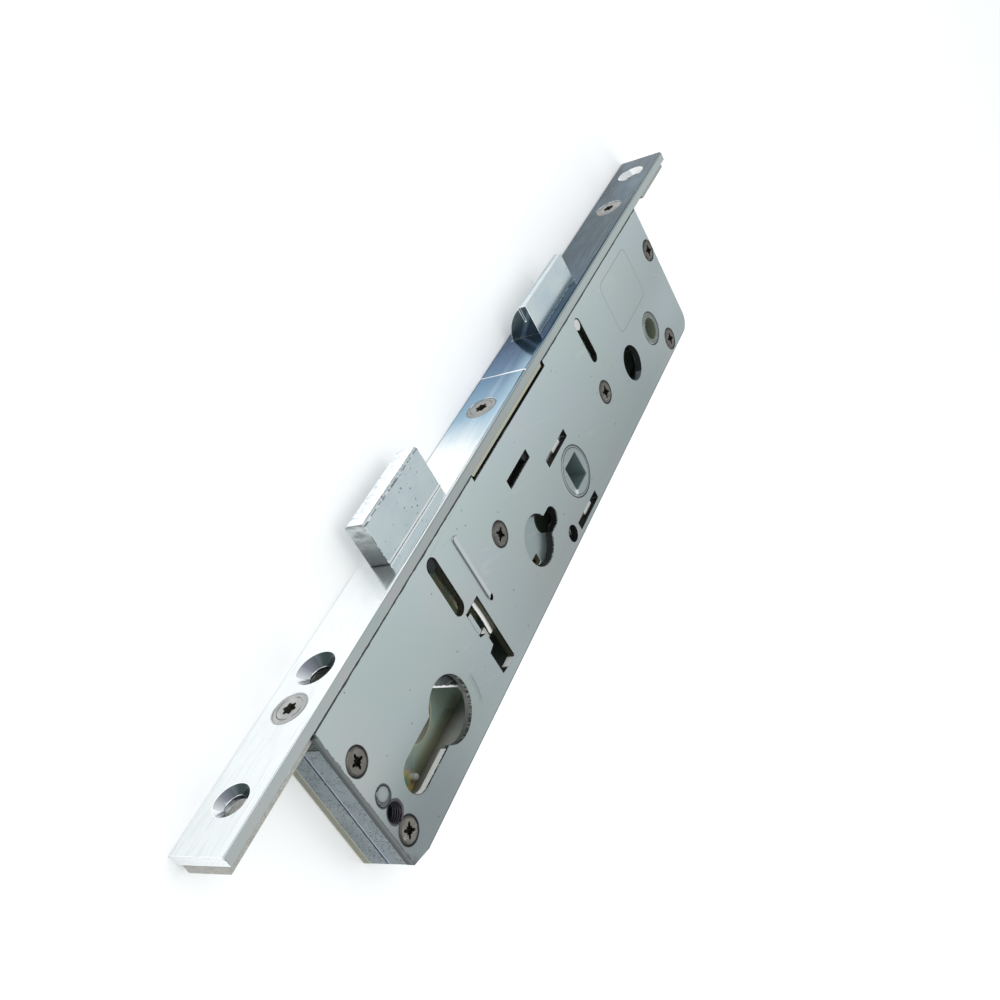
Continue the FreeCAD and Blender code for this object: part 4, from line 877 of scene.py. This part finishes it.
bright_finish = plated_steel(
    "bright_finish", [(0.66, 0.66, 0.63), (0.58, 0.56, 0.60), (0.74, 0.72, 0.62)],
    rough=0.28, blotch=150.0, wall_tone=(0.62, 0.58, 0.44), metal=0.5)
# White: the wear pad's own colour, and a painted highlight on the pin and the leaf spring seen through the
# openings.
pad_and_highlight_finish = plated_steel(
    "pad_and_highlight_finish", [(1.0, 1.0, 0.97), (0.94, 0.94, 0.90), (1.0, 1.0, 1.0)],
    rough=0.30, blotch=400.0, scratches=0.3, metal=0.1)
wire_finish = plated_steel(
    "spring_wire_finish", [(0.26, 0.26, 0.25), (0.20, 0.20, 0.20), (0.34, 0.33, 0.30)],
    rough=0.32, blotch=700.0, scratches=0.2, metal=0.6)
dark_pin_finish = plated_steel(
    "dark_pin_finish", [(0.016, 0.018, 0.018), (0.012, 0.014, 0.014), (0.024, 0.025, 0.024)],
    rough=0.5, blotch=500.0, specks=0.2, scratches=0.05, metal=0.0)
dark_pin_finish.node_tree.nodes["Principled BSDF"].inputs["Specular IOR Level"].default_value = 0.12
print("finishes so far:", len(bpy.data.materials))


# %% The bores of the bush and the follower, and the blank plate's glint
def inside_round(tree, centre_x, centre_y, radius, soft=0.1):
    """1 within a radius of an upright axis, in millimetres."""
    place = axes(tree)
    far = length(place[X] - centre_x * MM, place[Y] - centre_y * MM)
    return fall(far, radius * MM - soft * MM, radius * MM + soft * MM)


def paint_bore(material, centre_y, radius, colour):
    """Colour the inside of a bore, and let it scatter light."""
    tree = material.node_tree
    bore = inside_round(tree, 0.0, centre_y, radius) * (1.0 - marked(tree, "upper"))
    repaint(material, bore, colour)
    make_dull(material, bore)


tree = stud_finish.node_tree
shadow = inside_round(tree, -5.9, -31.3, 2.15) - inside_round(tree, -6.4, -30.9, 1.85)
repaint(stud_finish, shadow.clamped() * 0.8, (0.05, 0.055, 0.055))
repaint(stud_finish, inside_round(tree, -6.3, -31.0, 1.1, 0.4) * 0.5, (0.32, 0.35, 0.34))
ring_finish = plated_steel(
    "bush_ring_finish", [(0.20, 0.215, 0.215), (0.17, 0.20, 0.21), (0.25, 0.25, 0.24)],
    rough=0.32, blotch=260.0, specks=0.15, scratches=0.3, edge_tone=(0.42, 0.44, 0.43))
paint_bore(ring_finish, 167.1, 3.9, (0.17, 0.205, 0.145))
follower_finish = plated_steel(
    "follower_finish", [(0.34, 0.385, 0.38), (0.30, 0.35, 0.37), (0.39, 0.40, 0.385)],
    rough=0.30, blotch=200.0, specks=0.12, edge_tone=(0.42, 0.45, 0.45))
paint_bore(follower_finish, 92.0, 6.2, (0.135, 0.185, 0.18))
tree = follower_finish.node_tree
# Painted shade in a groove round the follower's hub.
repaint(follower_finish, gap_ring(tree, 0.0, 92.0, 6.9, 0.24) * 0.8, (0.08, 0.09, 0.09))
repaint(follower_finish, inside_round(tree, 4.1, 87.6, 0.9, 0.3) * 0.8, (0.80, 0.84, 0.83))
blank_finish = plated_steel(
    "blank_plate_finish", [(0.33, 0.385, 0.375), (0.30, 0.355, 0.375), (0.38, 0.39, 0.37)],
    rough=0.32, blotch=90.0, scratches=0.3, wall_tone=(0.66, 0.62, 0.42), wall_low=0.6)
tree = blank_finish.node_tree
repaint(blank_finish, marked(tree, "wall") * inside_round(tree, 0.0, 67.5, 4.5), (0.50, 0.36, 0.58))
print("bores:", ring_finish.name, follower_finish.name, blank_finish.name)

# %% [markdown]
# Real edges are never perfectly sharp: a punched plate, a cast block and a turned head all carry a
# small round that catches the light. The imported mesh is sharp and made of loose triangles, so each
# visible piece gets a copy: its doubles are merged, its flat faces made whole, and a Bevel
# modifier rounds every edge over a set angle. Faces that lie square to an axis are shaded flat,
# and the rounds between them are shaded smooth.

# %% A copy of a node with rounded edges
LOOKS = {"front": Vector((-1, 0, 0)), "low": Vector((0, -1, 0)), "upper": Vector((0, 0, 1))}
LOOKS_ALONG = 0.8
SHEET_LIMIT = 3.3 * MM
SAME_POINT = 0.002 * MM
SAME_PLANE = math.radians(0.6)
SHARP_OVER = math.radians(32)
SQUARE_OVER = 0.9998


def mark_faces(mesh, name, values):
    """Write one number for each face, which the materials read."""
    layer = mesh.attributes.new(name, "FLOAT", "FACE")
    layer.data.foreach_set("value", [float(value) for value in values])


def settle(piece):
    """Run a piece's modifiers and keep the result as its plain mesh."""
    evaluated = piece.evaluated_get(bpy.context.evaluated_depsgraph_get())
    result = bpy.data.meshes.new_from_object(evaluated)
    piece.modifiers.clear()
    piece.data = result
    return result


def link_new(name, data):
    """A new object in the scene."""
    piece = bpy.data.objects.new(name, data)
    bpy.context.scene.collection.objects.link(piece)
    return piece


def hand_over(piece, body, node=None):
    """Let a finished piece ride a body, and hide the node it stands for, if any."""
    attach(piece, body)
    if node:
        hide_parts(node)


def keep_reach(shape, axis):
    """Note how far each whole face stretches along an axis: a cut wall is as tall as its sheet."""
    layer = shape.faces.layers.float.new("reach")
    for face in shape.faces:
        places = [vert.co[axis] for vert in face.verts]
        face[layer] = max(places) - min(places)


def rounded_copy(node, finish, width, body, sheet_axis):
    """A bevelled copy of a CAD node that replaces it. sheet_axis marks the walls across a sheet."""
    shape = bmesh.new()
    shape.from_mesh(nodes[node].data)
    bmesh.ops.remove_doubles(shape, verts=shape.verts, dist=SAME_POINT)
    bmesh.ops.dissolve_limit(shape, angle_limit=SAME_PLANE, verts=shape.verts, edges=shape.edges)
    if sheet_axis is not None:
        keep_reach(shape, sheet_axis)
    bmesh.ops.triangulate(shape, faces=shape.faces, ngon_method="BEAUTY")
    for face in shape.faces:
        face.smooth = True
        face.material_index = 0
    clean = bpy.data.meshes.new(node + "_clean")
    shape.to_mesh(clean)
    shape.free()
    clean.materials.append(finish)
    clean.materials.append(finish)
    clean.set_sharp_from_angle(angle=SHARP_OVER)
    piece = link_new(node + "_finished", clean)
    bevel = piece.modifiers.new("round", "BEVEL")
    bevel.width = width
    bevel.segments = 2
    bevel.limit_method = "ANGLE"
    bevel.angle_limit = SHARP_OVER
    bevel.use_clamp_overlap = False
    bevel.material = 1
    bevel.miter_outer = "MITER_ARC"
    result = settle(piece)
    result.name = node + "_finished"
    square = [max(abs(part) for part in face.normal) > SQUARE_OVER for face in result.polygons]
    flat = [face.material_index == 0 or level for face, level in zip(result.polygons, square)]
    mark_faces(result, "edge", [not kept for kept in flat])
    for label, towards in LOOKS.items():
        mark_faces(result, label, [face.normal.dot(towards) > LOOKS_ALONG and kept
                                   for face, kept in zip(result.polygons, flat)])
    if sheet_axis is not None:
        reach = [item.value for item in result.attributes["reach"].data]
        mark_faces(result, "wall", [
            abs(face.normal[sheet_axis]) < LOOKS_ALONG and kept and tall < SHEET_LIMIT
            for face, kept, tall in zip(result.polygons, flat, reach)])
    for face, level in zip(result.polygons, square):
        face.material_index = 0
        face.use_smooth = not level
    result.materials.pop(index=1)
    hand_over(piece, body, node)
    return piece


# %% Round the edges of the visible pieces
ROUNDED = [
    ("faceplate", strip_finish, 0.10, "case", "faceplate_zinc", X),
    ("near_case", case_finish, 0.08, "case", "near_case_zinc", Z),
    ("far_case_plate", far_finish, 0.13, "case", "yellow_zinc", Z),
    ("keeper_strip", keeper_finish, 0.12, "case", "keeper_yellow", Z),
    ("near_end_block", block_finish, 0.22, "case", "rough_zinc", None),
    ("far_end_block", block_finish, 0.22, "case", "rough_zinc", None),
    ("top_block", block_finish, 0.25, "case", "rough_zinc", None),
    ("middle_lug", block_finish, 0.25, "case", "rough_zinc", None),
    ("handle_bush", ring_finish, 0.20, "case", "bush_zinc", None),
    ("riveted_stud", stud_finish, 0.25, "case", "bush_zinc", None),
    ("blank_plate", blank_finish, 0.12, "case", "bright_zinc", Z),
    ("latch_spring_stop", yellow_finish, 0.15, "case", "yellow_zinc", None),
    ("spring_seat", yellow_finish, 0.15, "case", "yellow_zinc", None),
    ("spindle_follower", follower_finish, 0.12, "follower", "bush_zinc", None),
    ("latch_head", latch_finish, 0.16, "latch", "latch_zinc", None),
    ("latch_tail", yellow_finish, 0.15, "latch", "yellow_zinc", Z),
    ("deadbolt", bolt_finish, 0.12, "deadbolt", "bolt_zinc", None),
    ("deadbolt_tail", yellow_finish, 0.15, "deadbolt", "yellow_zinc", Z),
    ("drive_slide", yellow_finish, 0.12, "drive", "yellow_zinc", Z),
    ("lower_drive_bar", bar_finish, 0.18, "drive", "yellow_zinc", X),
    ("upper_drive_bar", bar_finish, 0.18, "drive", "yellow_zinc", X),
    ("return_slide", bright_finish, 0.10, "return_slide", "bright_zinc", Z),
    ("locking_lever", bright_finish, 0.12, "locking_lever", "bright_zinc", Z),
]
for node, finish, width, body, slot, sheet_axis in ROUNDED:
    piece = rounded_copy(node, finish, width * MM, body, sheet_axis)
    print("%s: %d faces" % (piece.name, len(piece.data.polygons)))

# %% [markdown]
# Small turned pieces are right as they are in the model: pins, posts, pivots and the wear pad
# only need a finish. Each keeps its mesh, so the finish goes into its material slots.

# %% Finishes for the pieces that keep their mesh
PLAIN = [
    ("case_posts", yellow_finish), ("latch_guide_pin", bright_finish), ("latch_wear_pad", pad_and_highlight_finish),
    ("deadbolt_guide_pin", dark_pin_finish), ("deadbolt_cam_pin", bright_finish),
    ("drive_stud", dark_pin_finish), ("lever_pivot", pivot_finish), ("latch_spring", wire_finish),
    ("return_spring_front", wire_finish), ("return_spring_rear", wire_finish),
    ("lever_spring", wire_finish),
]
for node, finish in PLAIN:
    mesh = nodes[node].data
    if not mesh.materials:
        mesh.materials.append(None)
    for index in range(len(mesh.materials)):
        mesh.materials[index] = finish
print("kept meshes:", len(PLAIN))

# %% [markdown]
# Nine screws hold the lock together: six cross-recess screws in the case and three six-lobe
# screws in the strip. Each kind is one head shape, so a ring of points is drawn once with its
# recess pressed in, and Geometry Nodes set a copy on every screw's place. The places are read
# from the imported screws: each separate island of that mesh is one screw.

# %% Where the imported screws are
def island_boxes(node):
    """The lowest and highest corners of each separate piece of a node's mesh, in order of place."""
    shape = bmesh.new()
    shape.from_mesh(nodes[node].data)
    bmesh.ops.remove_doubles(shape, verts=shape.verts, dist=SAME_POINT)
    left = set(shape.verts)
    boxes = []
    while left:
        found = [left.pop()]
        for vert in found:
            near = {edge.other_vert(vert) for edge in vert.link_edges} & left
            left -= near
            found.extend(near)
        low = Vector([min(vert.co[axis] for vert in found) for axis in range(3)])
        high = Vector([max(vert.co[axis] for vert in found) for axis in range(3)])
        boxes.append((low, high))
    shape.free()
    return sorted(boxes, key=lambda box: (round(box[0].y, 5), round(box[0].x, 5)))


case_screw_boxes = island_boxes("case_screws")
face_screw_boxes = island_boxes("faceplate_screws")
print("case screws:", len(case_screw_boxes), "strip screws:", len(face_screw_boxes))


# %% A screw drawn as rings
def cross_recess(angle, reach):
    """The outline of a pressed cross: four long arms with four small points between them."""
    arm = max(0.0, math.cos(4 * angle)) ** 0.8
    point = max(0.0, -math.cos(4 * angle)) ** 4
    return reach * (0.50 + 0.50 * arm + 0.16 * point)


def lobe_recess(angle, reach):
    """The outline of a six-lobe socket."""
    return reach * (0.86 + 0.14 * math.cos(6 * angle))


def skin(name, rings, sharp=50):
    """A closed mesh over rings of points that all have the same count."""
    shape = bmesh.new()
    loops = [[shape.verts.new(spot) for spot in spots] for spots in rings]
    count = len(rings[0])
    for inner, outer in zip(loops, loops[1:]):
        for step in range(count):
            after = (step + 1) % count
            shape.faces.new((inner[step], outer[step], outer[after], inner[after]))
    shape.faces.new(loops[0])
    shape.faces.new(list(reversed(loops[-1])))
    bmesh.ops.recalc_face_normals(shape, faces=shape.faces)
    for face in shape.faces:
        face.smooth = True
    mesh = bpy.data.meshes.new(name)
    shape.to_mesh(mesh)
    shape.free()
    mesh.set_sharp_from_angle(angle=math.radians(sharp))
    return mesh


def round_ring(height, spread, count=72, centre=(0.0, 0.0)):
    """Points round an upright axis, at a distance that may change with the angle."""
    spots = []
    for step in range(count):
        angle = step * math.tau / count
        far = spread(angle) if callable(spread) else spread
        spots.append((centre[0] + far * math.cos(angle), centre[1] + far * math.sin(angle), height))
    return spots


def screw_mesh(name, outline, reach, depth, radius, rim, cone, shank, length, chamfer, groove):
    """A countersunk screw along minus Z, its head's top at the origin. The groove is a dark ring."""
    rings = [
        round_ring(-depth, lambda angle: outline(angle, reach) * 0.30),
        round_ring(-depth * 0.72, lambda angle: outline(angle, reach) * 0.82),
        round_ring(-0.10 * MM, lambda angle: outline(angle, reach) * 0.96),
        round_ring(-0.01 * MM, lambda angle: outline(angle, reach) * 1.03),
        round_ring(0.0, lambda angle: max(outline(angle, reach) * 1.1, radius * 0.55)),
        round_ring(0.0, groove[0]),
        round_ring(0.0, groove[1]),
        round_ring(0.0, radius - chamfer),
        round_ring(-chamfer * 0.5, radius - chamfer * 0.35),
        round_ring(-chamfer, radius),
        round_ring(-rim, radius),
        round_ring(-cone, shank),
        round_ring(-length + 0.3 * MM, shank),
        round_ring(-length, shank - 0.3 * MM)]
    mesh = skin(name, rings)
    places = [(face.center.z, face.center.xy.length) for face in mesh.polygons]
    mark_faces(mesh, "wall", [height < -0.04 * MM and far < reach for height, far in places])
    mark_faces(mesh, "edge", [height > -rim and groove[0] < far < groove[2] for height, far in places])
    return mesh


# %% A Geometry Nodes tree that sets a shape on points
def finish_tree(shape, gives, finish):
    """Make a tree's shape real, give it its finish and send it out."""
    real = add(shape.tree, "GeometryNodeRealizeInstances", i0=shape)
    join(add(shape.tree, "GeometryNodeSetMaterial", i0=real, Material=finish), gives["Result"])


def setting_tree(name, finish):
    """Instances of one object on a mesh's points, each turned about its own axis."""
    tree, given, gives = start_tree(name, "GeometryNodeTree", {
        "Points": "Geometry", "Shape": "Object", "Tilt": (0.0, 0.0, 0.0), "Spin": math.pi, "Seed": 4},
        {"Result": "Geometry"})
    shape = add(tree, "GeometryNodeObjectInfo", take="Geometry", i0=given["Shape"])
    chance = add(tree, "FunctionNodeRandomValue", {"data_type": "FLOAT"}, take=1, Seed=given["Seed"],
                 i2=0.0, i3=given["Spin"])
    about = add(tree, "ShaderNodeCombineXYZ", i2=chance)
    put = add(tree, "GeometryNodeInstanceOnPoints", i0=given["Points"], Instance=shape,
              Rotation=given["Tilt"])
    finish_tree(add(tree, "GeometryNodeRotateInstances", i0=put, Rotation=about), gives, finish)
    return tree


def run_tree(piece, tree, **values):
    """Run a Geometry Nodes tree on a piece with some of its inputs set, and keep the result."""
    setter = piece.modifiers.new("set", "NODES")
    setter.node_group = tree
    for item in tree.interface.items_tree:
        if item.in_out == "INPUT" and item.name in values:
            setter[item.identifier] = values[item.name]
    return settle(piece)


def set_screws(node, points, shape_mesh, tree, tilt, spin):
    """Set a screw on every point, turned at random as far as spin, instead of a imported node."""
    cloud = bpy.data.meshes.new(node + "_places")
    cloud.from_pydata(points, [], [])
    piece = link_new(node + "_finished", cloud)
    pattern = link_new(node + "_pattern", shape_mesh)
    run_tree(piece, tree, Shape=pattern, Tilt=tilt, Spin=spin)
    bpy.data.objects.remove(pattern)
    hand_over(piece, "case", node)
    print(node, "faces:", len(piece.data.polygons))


# %% Set the case screws and the strip screws
low, high = case_screw_boxes[0]
case_head = screw_mesh(
    "case_screw_pattern", cross_recess, reach=1.95 * MM, depth=1.1 * MM, radius=(high.x - low.x) / 2,
    rim=0.75 * MM, cone=1.5 * MM, shank=1.95 * MM, length=high.z - low.z, chamfer=0.60 * MM,
    groove=(2.75 * MM, 2.80 * MM, 3.6 * MM))
places = [((low.x + high.x) / 2, (low.y + high.y) / 2, high.z) for low, high in case_screw_boxes]
set_screws("case_screws", places, case_head,
           setting_tree("set_case_screws", screw_finish), (0.0, 0.0, 0.0), math.tau)

low, high = face_screw_boxes[0]
face_head = screw_mesh(
    "face_screw_pattern", lobe_recess, reach=1.8 * MM, depth=1.5 * MM, radius=(high.y - low.y) / 2,
    rim=0.60 * MM, cone=2.3 * MM, shank=1.9 * MM, length=high.x - low.x, chamfer=0.45 * MM,
    groove=(3.15 * MM, 3.40 * MM, 3.38 * MM))
places = [(low.x, (low.y + high.y) / 2, (low.z + high.z) / 2) for low, high in face_screw_boxes]
set_screws("faceplate_screws", places, face_head,
           setting_tree("set_strip_screws", face_screw_finish), (0.0, -math.pi / 2, 0.0), 0.0)

# %% [markdown]
# The small hole beside the lower case screw is tapped. Its thread is one ridge wound round the
# bore: a spiral curve with a small round section, which Geometry Nodes turn into a mesh. Half of
# the ridge lies in the hole's wall, as the crests of a cut thread do.

# %% The thread in the tapped hole
THREAD_PLACE = (-0.5 * MM, -31.3 * MM)
THREAD = {"Radius": 2.62 * MM, "Pitch": 0.7 * MM, "Turns": 5.0}
THREAD_RIDGE = 0.24 * MM
THREAD_UNDER = 0.35 * MM
NEAR_FACE = case_high.z

thread_finish = plated_steel(
    "thread_finish", [(0.075, 0.065, 0.085), (0.05, 0.048, 0.06), (0.13, 0.115, 0.13)], rough=0.35,
    blotch=600.0, specks=0.4, scratches=0.1, edge_tone=(0.2, 0.2, 0.2), metal=0.7)
tree, given, gives = start_tree("wind_thread", "GeometryNodeTree",
                                {"Points": "Geometry", **THREAD, "Ridge": THREAD_RIDGE},
                                {"Result": "Geometry"})
tall = given["Pitch"] * given["Turns"]
wound = add(tree, "GeometryNodeCurveSpiral", Resolution=48, Rotations=given["Turns"], Height=tall,
            **{"Start Radius": given["Radius"], "End Radius": given["Radius"]})
section = add(tree, "GeometryNodeCurvePrimitiveCircle", Resolution=8, Radius=given["Ridge"])
solid = add(tree, "GeometryNodeCurveToMesh", Curve=wound,
            **{"Profile Curve": section, "Fill Caps": True})
finish_tree(solid, gives, thread_finish)
thread = link_new("tapped_thread", bpy.data.meshes.new("thread_start"))
wound_mesh = run_tree(thread, tree, **THREAD)
lift = NEAR_FACE - THREAD_UNDER - THREAD["Pitch"] * THREAD["Turns"]
wound_mesh.transform(Matrix.Translation((*THREAD_PLACE, lift)))
wound_mesh.shade_smooth()
hand_over(thread, "case")
print("thread faces:", len(wound_mesh.polygons), "lowest in mm:", round(lift / MM, 2))

# %% [markdown]
# Three small things show through the openings. A domed pin stands on the far plate below the
# cylinder, and a leaf spring lies just under the near plate, by the deadbolt's tail: both stay with
# the case, and both are white as painted highlights. The third is the locking lever's nose, in the
# cell after this one. All are closed skins over a few rings of points.

# %% The pin below the cylinder and the leaf spring
FAR_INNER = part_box("far_case_plate")[1].z
PIN_PLACE = (11.0 * MM, -11.3 * MM)
PIN_ROUND = 0.9 * MM
PIN_TALL = 2.2 * MM
PIN_SIDES = 40
DOME_STEPS = 8
DOME_SHARE = 0.7
LEAF = {"left": -8.4 * MM, "right": 2.0 * MM, "low": 27.7 * MM, "high": 29.9 * MM,
        "under": 5.25 * MM, "thick": 0.3 * MM}
LEAF_BOW = 0.28 * MM
LEAF_TAPER = 0.22 * MM
LEAF_SOFT = 0.05 * MM
LEAF_STEPS = 32

dome_foot = FAR_INNER + PIN_TALL - PIN_ROUND
rings = [round_ring(height, PIN_ROUND, PIN_SIDES, PIN_PLACE)
         for height in (FAR_INNER - 0.2 * MM, dome_foot)]
for step in range(1, DOME_STEPS):
    lean = step * math.pi / 16
    rings.append(round_ring(dome_foot + PIN_ROUND * math.sin(lean) * DOME_SHARE,
                            PIN_ROUND * math.cos(lean), PIN_SIDES, PIN_PLACE))
pin = link_new("far_plate_pin", skin("far_plate_pin", rings))
pin.data.materials.append(pad_and_highlight_finish)
hand_over(pin, "case")

rings = []
for step in range(LEAF_STEPS + 1):
    share = step / LEAF_STEPS
    bow = LEAF_BOW * math.sin(share * math.pi)
    taper = LEAF_TAPER * max(0.0, abs(share - 0.5) * 2 - 0.85) / 0.15
    place = LEAF["left"] + (LEAF["right"] - LEAF["left"]) * share
    low, high = LEAF["low"] + taper, LEAF["high"] - taper
    under, over = LEAF["under"] + bow, LEAF["under"] + LEAF["thick"] + bow
    rings.append([(place, across, up) for across, up in (
        (low, under + LEAF_SOFT), (low + LEAF_SOFT, under), (high - LEAF_SOFT, under),
        (high, under + LEAF_SOFT), (high, over - LEAF_SOFT), (high - LEAF_SOFT, over),
        (low + LEAF_SOFT, over), (low, over - LEAF_SOFT))])
leaf = link_new("window_leaf_spring", skin("window_leaf_spring", rings))
leaf.data.materials.append(pad_and_highlight_finish)
hand_over(leaf, "case")
print("leaf spring faces:", len(leaf.data.polygons), "pin faces:", len(pin.data.polygons))

# %% [markdown]
# The locking lever ends in a nose that reaches over the cylinder's opening, where the cylinder's cam
# lifts it. It is a stamped plate: mottled grey, with its sheared edge along the slope painted as a
# bright highlight that fades towards its right end. Its outline is drawn at four heights, a little
# smaller at the lowest and the highest.

# %% The locking lever's nose
NOSE = [(-5.9, 1.6), (2.1, 9.5), (5.0, 9.9), (6.5, 11.5), (-9.5, 12.5), (-9.8, 4.0), (-9.5, 2.6),
        (-8.8, 1.7), (-7.8, 1.25), (-6.8, 1.2)]
NOSE_LOW = 3.7 * MM
NOSE_HIGH = 4.9 * MM
NOSE_CHAMFER = 0.12 * MM
NOSE_SLOPE = 7.45 * MM

nose_finish = plated_steel(
    "lever_nose_finish", [(0.10, 0.115, 0.11), (0.045, 0.05, 0.05), (0.20, 0.22, 0.215)], rough=0.36,
    blotch=420.0, amount=1.0, specks=0.45, scratches=0.5, metal=0.7)
tree = nose_finish.node_tree
x, y, z = axes(tree)
ragged = noise(mapped(tree), 700.0, 4.0)
from_slope = y - x - ragged.scaled(1.6 * MM, NOSE_SLOPE - 0.5 * MM)
# Painted highlight along the sheared edge, fading towards the right end.
sheared_edge_highlight = fall(from_slope, 0.2 * MM, 0.7 * MM)
shaded_end = rise(x, -3.0 * MM, 3.0 * MM)
repaint(nose_finish, sheared_edge_highlight * shaded_end.scaled(-0.35, 0.9), (1.0, 1.0, 0.97))
make_dull(nose_finish, sheared_edge_highlight, 0.05)
middle = sum((Vector(spot) for spot in NOSE), Vector((0, 0))) / len(NOSE)
rings = []
for height, inset in ((NOSE_LOW, NOSE_CHAMFER), (NOSE_LOW + NOSE_CHAMFER, 0.0),
                      (NOSE_HIGH - NOSE_CHAMFER, 0.0), (NOSE_HIGH, NOSE_CHAMFER)):
    inward = [(middle - Vector(spot)).normalized() * inset for spot in NOSE]
    rings.append([(spot[0] * MM + move.x, spot[1] * MM + move.y, height)
                  for spot, move in zip(NOSE, inward)])
nose = link_new("locking_lever_nose", skin("locking_lever_nose", rings, sharp=30))
nose.data.materials.append(nose_finish)
hand_over(nose, "locking_lever")
print("nose faces:", len(nose.data.polygons))

# %% [markdown]
# The lock lies on a pale studio floor. The floor is a plain white surface that keeps the soft
# shadow, and the world is white to the camera and a little greyer to the metal, so the plates
# show tone instead of burning out. Large soft lamps give the long gradients that satin metal needs.

# %% Floor
FLOOR_HALF = 6.0
FLOOR_HEIGHT = cad_box[0][2]
CORNERS = ((-1, -1), (1, -1), (1, 1), (-1, 1))

floor_mesh = bpy.data.meshes.new("studio_floor")
floor_mesh.from_pydata([(a * FLOOR_HALF, b * FLOOR_HALF, FLOOR_HEIGHT) for a, b in CORNERS], [],
                       [(0, 1, 2, 3)])
floor = link_new("studio_floor", floor_mesh)
floor_finish, tree, inputs = start_material("floor_finish", 0.0)
inputs["Base Color"].default_value = (0.86, 0.86, 0.86, 1.0)
inputs["Roughness"].default_value = 0.9
inputs["Specular IOR Level"].default_value = 0.0
inputs["Emission Color"].default_value = (1, 1, 1, 1)
seen = add(tree, "ShaderNodeLightPath", take="Is Camera Ray")
mirrored = Field(seen.socket.node.outputs["Is Glossy Ray"])
join(seen * 0.22 + mirrored * 0.30, inputs["Emission Strength"])
floor_mesh.materials.append(floor_finish)
print("floor height in mm:", round(FLOOR_HEIGHT / MM, 2))


# %% World and lamps
world = bpy.data.worlds.new("studio")
world.use_nodes = True
bpy.context.scene.world = world
tree = world.node_tree
tree.nodes.clear()
to_camera = add(tree, "ShaderNodeLightPath", take="Is Camera Ray")
plain = add(tree, "ShaderNodeBackground", Color=(0.86, 0.90, 0.92, 1.0), Strength=0.86)
white = add(tree, "ShaderNodeBackground", Color=(1, 1, 1, 1), Strength=1.0)
mixed = add(tree, "ShaderNodeMixShader", i0=to_camera, i1=plain, i2=white)
join(mixed, tree.nodes.new("ShaderNodeOutputWorld").inputs[0])


def soft_lamp(name, place, size, power, colour=(1.0, 1.0, 1.0)):
    """A square lamp that looks at the middle of the lock."""
    lamp = bpy.data.lights.new(name, "AREA")
    lamp.shape = "RECTANGLE"
    lamp.size, lamp.size_y = size, size
    lamp.energy = power
    lamp.color = colour
    piece = link_new(name, lamp)
    looks = (LOCK_MIDDLE - Vector(place)).normalized()
    piece.rotation_euler = looks.to_track_quat("-Z", "Y").to_euler()
    piece.location = place


LOCK_MIDDLE = Vector((0.0, 0.08, 0.0))
soft_lamp("overhead", (-0.25, 0.0, 0.9), 0.9, 2.6)
soft_lamp("side", (0.9, 0.5, 0.5), 0.5, 1.2, (0.95, 0.98, 1.0))
bpy.context.scene.view_settings.view_transform = "Standard"
print("lamps:", len(bpy.data.lights))
